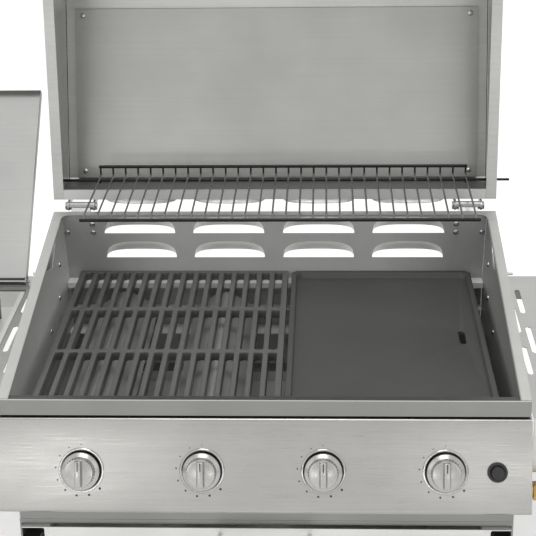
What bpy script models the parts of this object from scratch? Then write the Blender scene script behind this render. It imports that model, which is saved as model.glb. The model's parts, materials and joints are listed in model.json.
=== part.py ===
"""Gas grill head with an open lid, two side tables and a side burner.

The grill is modelled in a working frame whose zero is the top of the cooking
grate: x to the right, y from the front to the back, z up. One empty carries
that frame to the real place, with the ground at zero height under the middle
of the grill.
"""
import bmesh
import bpy
from math import atan2, cos, hypot, pi, radians, sin, tan
from mathutils import Matrix, Vector

# Place of the working frame
GRATE_HEIGHT = 0.245
FOOTPRINT_MIDDLE = 0.2788

# Fits and sheet gauges
CLEARANCE = 0.0003
OVERRUN = 0.004
WELD = 0.00001
SHEET = 0.0015
THIN_SHEET = 0.0012

# Firebox rim and walls
REAR_KNEE_DEPTH = 0.436
REAR_KNEE_DROP = 0.014
RIM_REAR_SETBACK = 0.013
RIM_REAR_DEPTH = REAR_KNEE_DEPTH - RIM_REAR_SETBACK
RIM_REAR_HEIGHT = 0.1039
RIM_FRONT_DEPTH = -0.041
RIM_FRONT_HEIGHT = 0.0205
WALL_HALF_WIDTH = 0.328
SIDE_RIM_WIDTH = 0.0146
END_RIM_WIDTH = 0.0115
FRONT_SKIRT_HEIGHT = 0.0225
FIREBOX_DROP = 0.165
OUTER_SIDE_DROP = 0.150
RIM_CORNER_REACH = 0.025
RIM_CORNER_RADIUS = 0.010

# Windows for a spit in the inner side walls, forward of the rear knee
SPIT_WINDOW_FRONT_SETBACK = 0.174
SPIT_WINDOW_LOW_SETBACK = 0.126
SPIT_WINDOW_REAR_SETBACK = 0.080
SPIT_WINDOW_FRONT = REAR_KNEE_DEPTH - SPIT_WINDOW_FRONT_SETBACK
SPIT_WINDOW_LOW_DEPTH = REAR_KNEE_DEPTH - SPIT_WINDOW_LOW_SETBACK
SPIT_WINDOW_LOW_HEIGHT = 0.056
SPIT_WINDOW_REAR = REAR_KNEE_DEPTH - SPIT_WINDOW_REAR_SETBACK
SPIT_WINDOW_MARGIN = 0.0035
SPIT_WINDOW_RADIUS = 0.006
SPIT_BOLT_SETBACK = 0.130
SPIT_BOLT_DEPTH = REAR_KNEE_DEPTH - SPIT_BOLT_SETBACK
SPIT_BOLT_HEIGHT = 0.049
SPIT_BOLT_RADIUS = 0.0025
SPIT_BOLT_REACH = 0.015

# Louvres, pressed outward in the rear panels
LOUVRE_HALF_WIDTH = 0.0555
LOUVRE_HOOD_HEIGHT = 0.017
LOUVRE_HOOD_DEPTH = 0.012
LOUVRE_MOUTH = 0.0085
LOUVRE_EDGE = 0.001
LOUVRE_INNER_PLACE = 0.070
LOUVRE_OUTER_PLACE = 0.209
LOUVRE_UPPER_HEIGHT = 0.077
LOUVRE_LOWER_HEIGHT = 0.0325
LID_LOUVRE_HEIGHT = 0.022

# Ledges that carry the grate and the griddle
LEDGE_REAR_REACH = 0.022
LEDGE_FRONT_REACH = 0.042
LEDGE_LIP = 0.009

# Cast grate
PLATE_LEFT_GAP = 0.0205
PLATE_RIGHT_GAP = 0.0204
PLATE_REAR_GAP = 0.0035
PLATE_GAP = 0.0055
GRATE_LEFT = PLATE_LEFT_GAP - WALL_HALF_WIDTH
GRATE_RIGHT = 0.0220
GRATE_FRONT = -0.003
GRATE_REAR = REAR_KNEE_DEPTH - PLATE_REAR_GAP
GRATE_THICKNESS = 0.013
GRATE_SLOT_COUNT = 16
GRATE_BAR_WIDTH = 0.0102
GRATE_REAR_BORDER = 0.006
GRATE_FRONT_BORDER = 0.009
GRATE_CROSS_BAR = 0.0085
GRATE_ROW_COUNT = 3

# Griddle plate
GRIDDLE_LEFT = GRATE_RIGHT + PLATE_GAP
GRIDDLE_RIGHT = WALL_HALF_WIDTH - PLATE_RIGHT_GAP
GRIDDLE_RIM_WIDTH = 0.007
GRIDDLE_RIM_SLOPE = 0.003
GRIDDLE_FLOOR_DROP = 0.009
GRIDDLE_CHAMFER = 0.008
GREASE_HOLE_INSET = 0.0306
GREASE_HOLE_PLACE = GRIDDLE_RIGHT - GREASE_HOLE_INSET
GREASE_HOLE_WIDTH = 0.009
GREASE_HOLE_FRONT = 0.187
GREASE_HOLE_REAR = 0.229

# Burners, flame tamers and their rails
BURNER_COUNT = 4
BURNER_SIDE_GAP = 0.094
BURNER_PITCH = (WALL_HALF_WIDTH - BURNER_SIDE_GAP) * 2 / (BURNER_COUNT - 1)
BURNER_RADIUS = 0.014
BURNER_WALL = 0.0012
BURNER_DROP = 0.080
BURNER_MOUTH = -0.042
BURNER_REAR_GAP = 0.031
BURNER_REAR = REAR_KNEE_DEPTH - BURNER_REAR_GAP
BURNER_NECK_RADIUS = 0.0105
BURNER_NECK_START = 0.016
BURNER_NECK_END = 0.050
TAMER_HALF_WIDTH = 0.049
TAMER_TOP_HALF_WIDTH = 0.007
TAMER_TOP_DROP = 0.030
TAMER_FOOT_DROP = 0.058
TAMER_FRONT = -0.014
TAMER_REAR_GAP = 0.017
TAMER_REAR = REAR_KNEE_DEPTH - TAMER_REAR_GAP
RAIL_SHELF = 0.021
BURNER_SHELF = 0.036

# Electrodes beside the burners
ELECTRODE_RADIUS = 0.003
ELECTRODE_START = 0.004
ELECTRODE_LENGTH = 0.034
ELECTRODE_CLIP_START = 0.016
ELECTRODE_CLIP_WIDTH = 0.006
ELECTRODE_TIP_RADIUS = 0.0009
ELECTRODE_TIP_LENGTH = 0.014
ELECTRODE_OFFSET = 0.022

# Base frame, feet, grease tray and cup
BASE_HEIGHT = 0.035
BASE_BEAM_WIDTH = 0.024
BASE_STRIP_HEIGHT = 0.0065
RUNNER_REACH = 0.013
RUNNER_DROP = 0.0105
RUNNER_THICKNESS = 0.0017
TRAY_DEPTH = 0.017
TRAY_FRONT = -0.037
TRAY_REAR_GAP = 0.012
TRAY_REAR = REAR_KNEE_DEPTH - TRAY_REAR_GAP
TRAY_SIDE_GAP = 0.0015
TRAY_PULL_HALF_WIDTH = 0.060
TRAY_PULL_REACH = 0.022
TRAY_PULL_RADIUS = 0.003
DRAIN_RADIUS = 0.012
DRAIN_DEPTH = 0.200
CUP_HALF_WIDTH = 0.055
CUP_HALF_DEPTH = 0.040
CUP_HEIGHT = 0.026
CUP_FLANGE = 0.006
CUP_HANGER_LENGTH = 0.060
CUP_HANGER_DROP = 0.0045
FOOT_RADIUS = 0.012
FOOT_PAD_RADIUS = 0.017
FOOT_PAD_HEIGHT = 0.014
FOOT_FRONT = -0.006
FOOT_REAR_GAP = 0.031
FOOT_REAR = REAR_KNEE_DEPTH - FOOT_REAR_GAP
FOOT_INSET = 0.014

# Control panel, leaning out towards its lower edge
PANEL_SIDE_REACH = 0.0016
PANEL_HALF_WIDTH = WALL_HALF_WIDTH + SIDE_RIM_WIDTH + PANEL_SIDE_REACH
PANEL_TOP_DROP = 0.0048
PANEL_TOP_DEPTH = -0.044
PANEL_FOOT_DEPTH = -0.085
PANEL_FOOT_DROP = 0.118
PANEL_RETURN_DROP = 0.123
PANEL_BEND_RADIUS = 0.004

# Knobs, stems and bezels
KNOB_PLACE_SHARE = 0.56
KNOB_RADIUS = 0.019
KNOB_SKIRT_RADIUS = 0.0245
KNOB_SKIRT_HEIGHT = 0.005
KNOB_HEIGHT = 0.026
KNOB_EDGE = 0.002
KNOB_STANDOFF = 0.0058
KNOB_GRIP_WIDTH = 0.012
KNOB_GRIP_HEIGHT = 0.008
KNOB_BORE_DEPTH = 0.012
STEM_RADIUS = 0.004
STEM_REACH = 0.0165
STEM_INNER_REACH = 0.0155
STEM_COLLAR_RADIUS = 0.006
STEM_COLLAR = 0.0012
STEM_COLLAR_PLACE = 0.0015
STEM_TRAVEL = 0.003
STEM_HOLE_RADIUS = 0.0065
BEZEL_RADIUS = 0.029
BEZEL_THICKNESS = 0.0016

# Gas manifold and valves
MANIFOLD_RADIUS = 0.009
MANIFOLD_DEPTH = -0.056
MANIFOLD_DROP = 0.1016
MANIFOLD_LEFT_GAP = 0.006
MANIFOLD_RIGHT_REACH = 0.002
MANIFOLD_LEFT = MANIFOLD_LEFT_GAP - WALL_HALF_WIDTH
MANIFOLD_RIGHT = WALL_HALF_WIDTH + MANIFOLD_RIGHT_REACH
INLET_RADIUS = 0.0075
INLET_NUT_RADIUS = 0.0125
INLET_NUT_LENGTH = 0.014
INLET_PANEL_REACH = 0.0218
INLET_REACH = PANEL_HALF_WIDTH + INLET_PANEL_REACH
VALVE_HALF_WIDTH = 0.010
VALVE_FRONT = -0.060
VALVE_REAR = -0.046
VALVE_TOP_DROP = 0.068
VALVE_NOSE_RADIUS = 0.0078
VALVE_NOSE_SHORTFALL = 0.006
VALVE_NOSE_ROOT = 0.021
JET_RADIUS = 0.004
JET_LENGTH = 0.008

# Igniter button
IGNITER_SIDE_GAP = 0.028
IGNITER_PLACE = WALL_HALF_WIDTH - IGNITER_SIDE_GAP
IGNITER_RADIUS = 0.0085
IGNITER_REACH = 0.009
IGNITER_SHAFT = 0.022
IGNITER_COLLAR_RADIUS = 0.013
IGNITER_COLLAR_HEIGHT = 0.003
IGNITER_SLEEVE_RADIUS = 0.0103
IGNITER_SLEEVE_DEPTH = 0.028

# Lid hinge
HINGE_STANDOFF = 0.004
HINGE_RISE = 0.0031
HINGE_SIDE_GAP = 0.0265
HINGE_DEPTH = REAR_KNEE_DEPTH + HINGE_STANDOFF
HINGE_HEIGHT = RIM_REAR_HEIGHT + HINGE_RISE
HINGE_PLACE = WALL_HALF_WIDTH - HINGE_SIDE_GAP
HINGE_PIN_RADIUS = 0.004
HINGE_PIN_HEAD_RADIUS = 0.0065
HINGE_PIN_HEAD = 0.003
KNUCKLE_HALF_LENGTH = 0.0182
KNUCKLE_WEB_HALF_LENGTH = 0.0145
KNUCKLE_RADIUS = 0.0065
KNUCKLE_PLATE = 0.003
KNUCKLE_PLATE_TOP_DROP = 0.014
KNUCKLE_PLATE_FOOT_DROP = 0.047
KNUCKLE_PLATE_REACH = 0.0315
KNUCKLE_BOLT_REACH = 0.0195
KNUCKLE_BOLT_DROP = 0.036
KNUCKLE_PLATE_TOP = HINGE_HEIGHT - KNUCKLE_PLATE_TOP_DROP
KNUCKLE_PLATE_FOOT = HINGE_HEIGHT - KNUCKLE_PLATE_FOOT_DROP
KNUCKLE_PLATE_INNER = HINGE_PLACE - KNUCKLE_PLATE_REACH
KNUCKLE_BOLT_PLACE = HINGE_PLACE - KNUCKLE_BOLT_REACH
KNUCKLE_BOLT_HEIGHT = HINGE_HEIGHT - KNUCKLE_BOLT_DROP
KNUCKLE_BOLT_PITCH = 0.015
KNUCKLE_WEB_SHARE = 0.8
KNUCKLE_WEB_FOOT_SHARE = 0.35
LUG_THICKNESS = 0.003
LUG_RADIUS = 0.0075
LUG_PLATE = 0.0015
LUG_PLATE_START = 0.012
LUG_PLATE_END = 0.050
LUG_BOLT_RISE = 0.040
BOLT_RADIUS = 0.0025
BOLT_HOLE_REACH = 0.006
BOLT_STEPS = 6

# Lid, in its own frame: forward from the hinge axis, and up from the rim plane
LID_LEAN = radians(6.0)
LID_RIM_GAP = 0.0016
LID_SIDE_REACH = 0.0024
LID_HALF_WIDTH = WALL_HALF_WIDTH + SIDE_RIM_WIDTH + LID_SIDE_REACH
LID_FLANGE = 0.016
LID_REAR = 0.0096
LID_REAR_RISE = 0.135
LID_FRONT_REACH = 0.012
LID_BROW_DEPTH = 0.148
LID_FRONT = HINGE_DEPTH - RIM_FRONT_DEPTH + LID_FRONT_REACH
LID_TOP_REACH = LID_FRONT - LID_BROW_DEPTH
LID_TOP_RISE = 0.196
LID_FRONT_RISE = 0.075
LID_REAR_RADIUS = 0.006
LID_ARC_STEPS = 6
LID_TOP_RADIUS = 0.120
LID_FRONT_RADIUS = 0.060
LID_SEAM_DROP = 0.016
LINER_GAP = 0.009
LINER_SIDE_GAP = 0.018
LINER_END_GAP = 0.060
LINER_HALF_WIDTH = LID_HALF_WIDTH - LINER_SIDE_GAP
LINER_START = 0.0165
LINER_END = LID_TOP_REACH - LINER_END_GAP
LINER_SCREW_INSET = 0.013
LINER_SCREW_PLACE = LINER_HALF_WIDTH - LINER_SCREW_INSET
LINER_SCREW_MARGIN = 0.010
SCREW_HEAD_RADIUS = 0.0042
SCREW_HEAD = 0.0022
SCREW_CROWN_SHARE = 0.55

# Lid handle and thermometer
HANDLE_END_GAP = 0.075
HANDLE_HALF_LENGTH = LID_HALF_WIDTH - HANDLE_END_GAP
HANDLE_RADIUS = 0.011
HANDLE_REACH = 0.040
HANDLE_RISE = 0.036
HANDLE_POST_INSET = 0.040
HANDLE_POST_PLACE = HANDLE_HALF_LENGTH - HANDLE_POST_INSET
HANDLE_POST_RADIUS = 0.008
HANDLE_NECK_SHARE = 0.75
GAUGE_RADIUS = 0.030
GAUGE_DEPTH = 0.012
GAUGE_LIP = 0.003
GAUGE_STEM_RADIUS = 0.003
GAUGE_STEM_LENGTH = 0.060
GAUGE_PLACE_SHARE = 0.5

# Warming rack, level on its pivot rod
RACK_LEFT_GAP = 0.067
RACK_RIGHT_GAP = 0.043
RACK_MIDDLE = (RACK_LEFT_GAP - RACK_RIGHT_GAP) / 2
RACK_WIRE_COUNT = 30
RACK_WIRE_PITCH = (LID_HALF_WIDTH * 2 - RACK_LEFT_GAP - RACK_RIGHT_GAP) / (RACK_WIRE_COUNT - 1)
RACK_WIRE_RADIUS = 0.0015
RACK_RAIL_RADIUS = 0.0022
RACK_RAIL_OVERHANG = 0.008
RACK_REAR_OVERHANG = 0.0025
RACK_RISE = 0.028
RACK_FRONT_SPAN = 0.110
RACK_REAR_SPAN = 0.0615
RACK_HEIGHT = HINGE_HEIGHT + RACK_RISE
RACK_FRONT = HINGE_DEPTH - RACK_FRONT_SPAN
RACK_REAR = HINGE_DEPTH + RACK_REAR_SPAN
RACK_FRONT_DROP = 0.0085
RACK_FRONT_REACH = 0.004
RACK_REAR_RISE = 0.015
RACK_REAR_REACH = 0.0015
RACK_RING_STEPS = 6
RACK_ROD_SETBACK = 0.010
RACK_ROD_DEPTH = RACK_REAR - RACK_ROD_SETBACK
RACK_ROD_RADIUS = 0.002
RACK_ROD_RIGHT_REACH = 0.025
RACK_ROD_RIGHT_END = LID_HALF_WIDTH + RACK_ROD_RIGHT_REACH
RACK_ROD_LEFT_REACH = 0.002

# Side tables
TABLE_GAP = 0.0039
TABLE_WIDTH = 0.2995
TABLE_REAR_GAP = 0.001
TABLE_INNER = WALL_HALF_WIDTH + SIDE_RIM_WIDTH + TABLE_GAP
TABLE_OUTER = TABLE_INNER + TABLE_WIDTH
TABLE_FRONT = RIM_FRONT_DEPTH
TABLE_REAR = RIM_REAR_DEPTH - TABLE_REAR_GAP
TABLE_DROP = 0.005
TABLE_SKIRT = 0.032
TABLE_APRON = 0.078
TABLE_CORNER = 0.012
TABLE_CORNER_STEPS = 3
TABLE_SLOT_LENGTH = 0.087
TABLE_SLOT_WIDTH = 0.008
TABLE_SLOT_COUNT = 3
TABLE_SLOT_STAGGER_SHARE = 0.5
TABLE_SLOT_REAR_GAP = 0.0965
TABLE_SLOT_FRONT_GAP = 0.1015
TABLE_SLOT_INSET = 0.0268
TABLE_SLOT_INNER_INSET = 0.0125
TABLE_SLOT_REAR = TABLE_REAR - TABLE_SLOT_REAR_GAP
TABLE_SLOT_PITCH = (TABLE_SLOT_REAR - TABLE_FRONT - TABLE_SLOT_FRONT_GAP) / (TABLE_SLOT_COUNT - 1)
TABLE_SLOT_PLACE = TABLE_INNER + TABLE_SLOT_INSET
TABLE_SLOT_INNER_PLACE = TABLE_INNER + TABLE_SLOT_INNER_INSET
ARM_FRONT_GAP = 0.071
ARM_REAR_GAP = 0.046
ARM_END_GAP = 0.046
ARM_FRONT = TABLE_FRONT + ARM_FRONT_GAP
ARM_REAR = TABLE_REAR - ARM_REAR_GAP
ARM_REACH = TABLE_OUTER - ARM_END_GAP
ARM_WIDTH = 0.016
ARM_HEIGHT = 0.014
ARM_PLATE = 0.003
ARM_PLATE_WIDTH = 0.040
ARM_PLATE_HEIGHT = 0.060

# Side burner on the left table
PAN_INNER_GAP = 0.0435
PAN_OUTER_GAP = 0.018
PAN_FRONT_GAP = 0.131
PAN_REAR_GAP = 0.064
PAN_RIGHT = -TABLE_INNER - PAN_INNER_GAP
PAN_LEFT = PAN_OUTER_GAP - TABLE_OUTER
PAN_FRONT = TABLE_FRONT + PAN_FRONT_GAP
PAN_REAR = TABLE_REAR - PAN_REAR_GAP
PAN_DEPTH = 0.026
PAN_FLANGE = 0.006
PAN_SHEET = 0.001
SIDE_HEAD_RADIUS = 0.042
SIDE_HEAD_HEIGHT = 0.012
SIDE_CAP_RADIUS = 0.036
SIDE_CAP_HEIGHT = 0.005
SIDE_NECK_RADIUS = 0.014
SIDE_TUBE_RADIUS = 0.010
SIDE_TUBE_WALL = 0.0015
SIDE_TUBE_MOUTH = 0.002
TRIVET_GAP = 0.024
TRIVET_HALF_SIZE = (PAN_RIGHT - PAN_LEFT) / 2 - TRIVET_GAP
TRIVET_BAR = 0.007
TRIVET_TOP = 0.003
TRIVET_RING_HEIGHT = 0.008
TRIVET_FINGER_REACH = 0.030
SIDE_LID_HINGE_GAP = 0.030
SIDE_LID_HINGE_RISE = 0.005
SIDE_LID_OPEN = radians(133.5)
SIDE_LID_SIDE_REACH = 0.003
SIDE_LID_FRONT_REACH = 0.037
SIDE_LID_RISE = 0.009
SIDE_LID_FALL = 0.003
SIDE_LID_START = 0.005
SIDE_LID_HINGE_DEPTH = PAN_REAR + SIDE_LID_HINGE_GAP
SIDE_LID_HINGE_HEIGHT = SIDE_LID_HINGE_RISE - TABLE_DROP
SIDE_LID_LENGTH = SIDE_LID_HINGE_DEPTH - SIDE_LID_START - PAN_FRONT + SIDE_LID_FRONT_REACH
SIDE_LID_RIGHT = PAN_RIGHT + SIDE_LID_SIDE_REACH
SIDE_LID_LEFT = PAN_LEFT - SIDE_LID_SIDE_REACH
SIDE_LID_SHEET = 0.001
SIDE_LID_BEVEL = 0.0012
SIDE_PIN_RADIUS = 0.002
SIDE_PIN_REACH = 0.005
SIDE_PIN_BOSS_RADIUS = 0.0028
SIDE_TAB_LENGTH = 0.008
SIDE_EAR = 0.0015
SIDE_EAR_HALF_DEPTH = 0.007
SIDE_EAR_RISE = 0.005
SIDE_PULL_HALF_WIDTH = 0.040
SIDE_PULL_REACH = 0.010
SIDE_PULL_THICKNESS = 0.003
SIDE_KNOB_PLACE = (PAN_LEFT + PAN_RIGHT) / 2
SIDE_KNOB_DROP = 0.045
SIDE_VALVE_FRONT_GAP = 0.0125
SIDE_VALVE_DEPTH = 0.022
SIDE_SUPPLY_RADIUS = 0.0035
PIPE_BEND = 0.030
HEX_SIDES = 6

# Screws
WALL_SCREW_SETBACKS = (0.074, 0.091, 0.171)
WALL_SCREW_HEIGHTS = (0.040, -0.008, -0.028)
CORNER_SCREW_INSET = 0.0055
CORNER_SCREW_PLACE = WALL_HALF_WIDTH - CORNER_SCREW_INSET
CORNER_SCREW_HEIGHT = 0.071

# Steps round curved edges
ROUND_STEPS = 16
SMALL_STEPS = 10
ARC_STEPS = 4
SLOT_STEPS = 2
BURNER_STEPS = 12
HOOD_STEPS = 5
ROD_RESOLUTION = 2
WIRE_RESOLUTION = 0

# Colours, roughness and metal share of each finish
FINISHES = {
    "brushed_steel": ((0.50, 0.50, 0.49), 0.32, 1.0),
    "painted_rim": ((0.56, 0.56, 0.55), 0.45, 0.6),
    "dark_wall": ((0.14, 0.14, 0.14), 0.55, 0.5),
    "cast_iron": ((0.075, 0.075, 0.075), 0.55, 0.3),
    "griddle_enamel": ((0.060, 0.060, 0.060), 0.62, 0.1),
    "black_wire": ((0.030, 0.030, 0.030), 0.40, 0.2),
    "chrome": ((0.62, 0.62, 0.62), 0.15, 1.0),
    "brass": ((0.55, 0.42, 0.20), 0.35, 1.0),
    "knob_metal": ((0.42, 0.42, 0.42), 0.30, 0.9),
    "black_plastic": ((0.020, 0.020, 0.020), 0.45, 0.0),
    "rubber": ((0.025, 0.025, 0.025), 0.80, 0.0),
}


def clear_scene():
    """Remove every object that the file starts with."""
    for old in list(bpy.data.objects):
        bpy.data.objects.remove(old, do_unlink=True)


def new_collection(name):
    """Make a collection in the scene."""
    group = bpy.data.collections.new(name)
    bpy.context.scene.collection.children.link(group)
    return group


def make_finish(name):
    """Make one Principled material from the table of finishes."""
    colour, roughness, metallic = FINISHES[name]
    finish = bpy.data.materials.new(name)
    finish.use_nodes = True
    shader = finish.node_tree.nodes["Principled BSDF"]
    shader.inputs["Base Color"].default_value = (*colour, 1.0)
    shader.inputs["Roughness"].default_value = roughness
    shader.inputs["Metallic"].default_value = metallic
    finish.diffuse_color = (*colour, 1.0)
    return finish


clear_scene()
PARTS = new_collection("gas_grill")
FINISH = {name: make_finish(name) for name in FINISHES}


def empty(name, place, parent=None, turn=0.0):
    """Add a named frame, turned about x."""
    frame = bpy.data.objects.new(name, None)
    frame.location = place
    frame.rotation_euler = (turn, 0.0, 0.0)
    frame.parent = parent
    PARTS.objects.link(frame)
    bpy.context.view_layer.update()
    return frame


def add_object(name, mesh):
    """Link a mesh as an object of the part."""
    made = bpy.data.objects.new(name, mesh)
    PARTS.objects.link(made)
    return made


def bake(made):
    """Put the evaluated modifiers into the object's own mesh."""
    graph = bpy.context.evaluated_depsgraph_get()
    mesh = bpy.data.meshes.new_from_object(made.evaluated_get(graph))
    made.modifiers.clear()
    made.data = mesh
    return made


def curve_to_mesh(made):
    """Turn a curve object into a closed mesh object of the same name."""
    bpy.context.view_layer.update()
    graph = bpy.context.evaluated_depsgraph_get()
    mesh = bpy.data.meshes.new_from_object(made.evaluated_get(graph))
    name = made.name
    matrix = made.matrix_world.copy()
    bpy.data.objects.remove(made, do_unlink=True)
    shape = bmesh.new()
    shape.from_mesh(mesh)
    bmesh.ops.remove_doubles(shape, verts=shape.verts, dist=WELD)
    bmesh.ops.recalc_face_normals(shape, faces=shape.faces)
    shape.transform(matrix)
    shape.to_mesh(mesh)
    shape.free()
    return add_object(name, mesh)


def combine(target, tool, operation):
    """Join, cut or intersect two closed meshes and remove the second."""
    change = target.modifiers.new(operation.lower(), "BOOLEAN")
    change.operation = operation
    change.object = tool
    change.solver = "EXACT"
    bpy.context.view_layer.update()
    bake(target)
    bpy.data.objects.remove(tool, do_unlink=True)
    return target


def cut(target, *tools):
    """Cut each tool out of the target."""
    for tool in tools:
        combine(target, tool, "DIFFERENCE")
    return target


def fuse(target, *tools):
    """Join each tool to the target."""
    for tool in tools:
        combine(target, tool, "UNION")
    return target


def gather(target, *others):
    """Put separate solids into one object without touching their shapes."""
    shape = bmesh.new()
    for piece in (target, *others):
        shape.from_mesh(piece.data)
    shape.to_mesh(target.data)
    shape.free()
    for piece in others:
        bpy.data.objects.remove(piece, do_unlink=True)
    return target


def move(made, place=(0.0, 0.0, 0.0), turn=0.0, about="X"):
    """Turn a mesh about an axis through zero and then shift it."""
    made.data.transform(Matrix.Translation(place) @ Matrix.Rotation(turn, 4, about))
    return made


def copy_of(made, name, place=(0.0, 0.0, 0.0)):
    """Copy an object with its own shifted mesh."""
    twin = add_object(name, made.data.copy())
    return move(twin, place)


def mirrored(made, name):
    """Copy an object to the other side of the grill."""
    shape = bmesh.new()
    shape.from_mesh(made.data)
    bmesh.ops.scale(shape, vec=(-1.0, 1.0, 1.0), verts=shape.verts)
    bmesh.ops.reverse_faces(shape, faces=shape.faces)
    mesh = bpy.data.meshes.new(name)
    shape.to_mesh(mesh)
    shape.free()
    return add_object(name, mesh)


def finish_node(made, finish, parent, smooth=True, place=(0.0, 0.0, 0.0)):
    """Give a finished node its material, shading, place and parent."""
    made.data.materials.clear()
    made.data.materials.append(FINISH[finish])
    if smooth:
        made.data.shade_smooth()
        made.data.set_sharp_from_angle(angle=radians(40.0))
    made.parent = parent
    made.location = place
    return made


def box(name, low, high):
    """Make a box between two corners from a unit cube."""
    mesh = bpy.data.meshes.new(name)
    shape = bmesh.new()
    bmesh.ops.create_cube(shape, size=1.0)
    size = [top - bottom for bottom, top in zip(low, high)]
    middle = [(top + bottom) / 2 for bottom, top in zip(low, high)]
    bmesh.ops.scale(shape, vec=size, verts=shape.verts)
    bmesh.ops.translate(shape, vec=middle, verts=shape.verts)
    shape.to_mesh(mesh)
    shape.free()
    return add_object(name, mesh)


def cylinder(name, radius, start, end, steps=SMALL_STEPS):
    """Make a round bar between two points."""
    start = Vector(start)
    span = Vector(end) - start
    mesh = bpy.data.meshes.new(name)
    shape = bmesh.new()
    bmesh.ops.create_cone(shape, cap_ends=True, segments=steps, radius1=radius,
                          radius2=radius, depth=span.length)
    turn = Vector((0.0, 0.0, 1.0)).rotation_difference(span).to_matrix().to_4x4()
    shape.transform(Matrix.Translation(start + span / 2) @ turn)
    shape.to_mesh(mesh)
    shape.free()
    return add_object(name, mesh)


def turned(name, profile, steps=ROUND_STEPS):
    """Turn a profile of radius and height, listed from top to bottom, about z."""
    mesh = bpy.data.meshes.new(name)
    shape = bmesh.new()
    points = [shape.verts.new((radius, 0.0, height)) for radius, height in profile]
    for first, second in zip(points, points[1:]):
        shape.edges.new((first, second))
    shape.to_mesh(mesh)
    shape.free()
    made = add_object(name, mesh)
    screw = made.modifiers.new("turn", "SCREW")
    screw.steps = steps
    screw.render_steps = steps
    screw.use_merge_vertices = True
    screw.merge_threshold = WELD
    screw.use_smooth_shade = True
    bpy.context.view_layer.update()
    bake(made)
    shape = bmesh.new()
    shape.from_mesh(made.data)
    bmesh.ops.remove_doubles(shape, verts=shape.verts, dist=WELD)
    bmesh.ops.recalc_face_normals(shape, faces=shape.faces)
    shape.to_mesh(made.data)
    shape.free()
    return made


def flat_curve(name, outlines, half_thickness):
    """Make a filled flat curve from closed outlines."""
    curve = bpy.data.curves.new(name, "CURVE")
    curve.dimensions = "2D"
    curve.fill_mode = "BOTH"
    curve.extrude = half_thickness
    for outline in outlines:
        spline = curve.splines.new("POLY")
        spline.points.add(len(outline) - 1)
        for point, (across, up) in zip(spline.points, outline):
            point.co = (across, up, 0.0, 1.0)
        spline.use_cyclic_u = True
    made = bpy.data.objects.new(name, curve)
    PARTS.objects.link(made)
    return made


AXIS_FRAMES = {
    "X": Matrix(((0, 0, 1, 0), (1, 0, 0, 0), (0, 1, 0, 0), (0, 0, 0, 1))),
    "Y": Matrix(((1, 0, 0, 0), (0, 0, -1, 0), (0, 1, 0, 0), (0, 0, 0, 1))),
    "Z": Matrix.Identity(4),
}


def extrude(name, outline, low, high, axis="X", holes=()):
    """Extrude an outline along an axis: (y, z) along X, (x, z) along Y, (x, y) along Z."""
    made = flat_curve(name, [outline, *holes], (high - low) / 2)
    middle = (high + low) / 2
    along = -middle if axis == "Y" else middle
    made.matrix_world = AXIS_FRAMES[axis] @ Matrix.Translation((0.0, 0.0, along))
    return curve_to_mesh(made)


def tube(name, points, radius, resolution=ROD_RESOLUTION):
    """Sweep a round bar along points."""
    curve = bpy.data.curves.new(name, "CURVE")
    curve.dimensions = "3D"
    curve.bevel_depth = radius
    curve.bevel_resolution = resolution
    curve.use_fill_caps = True
    spline = curve.splines.new("POLY")
    spline.points.add(len(points) - 1)
    for point, place in zip(spline.points, points):
        point.co = (*place, 1.0)
    made = bpy.data.objects.new(name, curve)
    PARTS.objects.link(made)
    return curve_to_mesh(made)


def rounded(corners, radii, steps=ARC_STEPS, closed=False):
    """Round the corners of a path in a plane with arcs of the given radii."""
    count = len(corners)
    path = []
    for index, corner in enumerate(corners):
        here = Vector(corner)
        radius = radii[index]
        at_end = index in (0, count - 1) and not closed
        if at_end or radius == 0:
            path.append(tuple(here))
            continue
        before = Vector(corners[index - 1]) - here
        after = Vector(corners[(index + 1) % count]) - here
        half = before.angle(after) / 2
        reach = radius / tan(half)
        start = before.normalized()
        end = after.normalized()
        centre = here + (start + end).normalized() * (radius / sin(half))
        first = here + start * reach - centre
        last = here + end * reach - centre
        for step in range(steps + 1):
            share = step / steps
            blend = first.lerp(last, share)
            path.append(tuple(centre + blend.normalized() * radius))
    return path


def inset(path, thickness):
    """Shift a line in its plane, to the right of the direction of travel."""
    points = [Vector(point) for point in path]
    offset = []
    for index, point in enumerate(points):
        into = points[index] - points[index - 1] if index else points[1] - points[0]
        last = index == len(points) - 1
        out = into if last else points[index + 1] - point
        first = Vector((into.y, -into.x)).normalized()
        second = Vector((out.y, -out.x)).normalized()
        middle = (first + second).normalized()
        offset.append(tuple(point + middle * (thickness / middle.dot(first))))
    return offset


def strip(path, thickness):
    """Turn the line of a bent sheet into the outline of its section."""
    return [*path, *reversed(inset(path, thickness))]


def slot_outline(centre, length, width, along_second=True, steps=ARC_STEPS):
    """Outline of a slot with round ends."""
    radius = width / 2
    straight = length / 2 - radius
    outline = []
    for side in (1, -1):
        for step in range(steps + 1):
            angle = pi * step / steps
            across = side * radius * cos(angle)
            along = side * (straight + radius * sin(angle))
            if along_second:
                outline.append((centre[0] + across, centre[1] + along))
            else:
                outline.append((centre[0] + along, centre[1] - across))
    return outline


def circle_outline(centre, radius, steps=SMALL_STEPS):
    """Outline of a round hole."""
    return [(centre[0] + radius * cos(2 * pi * step / steps),
             centre[1] + radius * sin(2 * pi * step / steps)) for step in range(steps)]


GRILL = empty("grill_frame", (0.0, -FOOTPRINT_MIDDLE, GRATE_HEIGHT))

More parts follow.
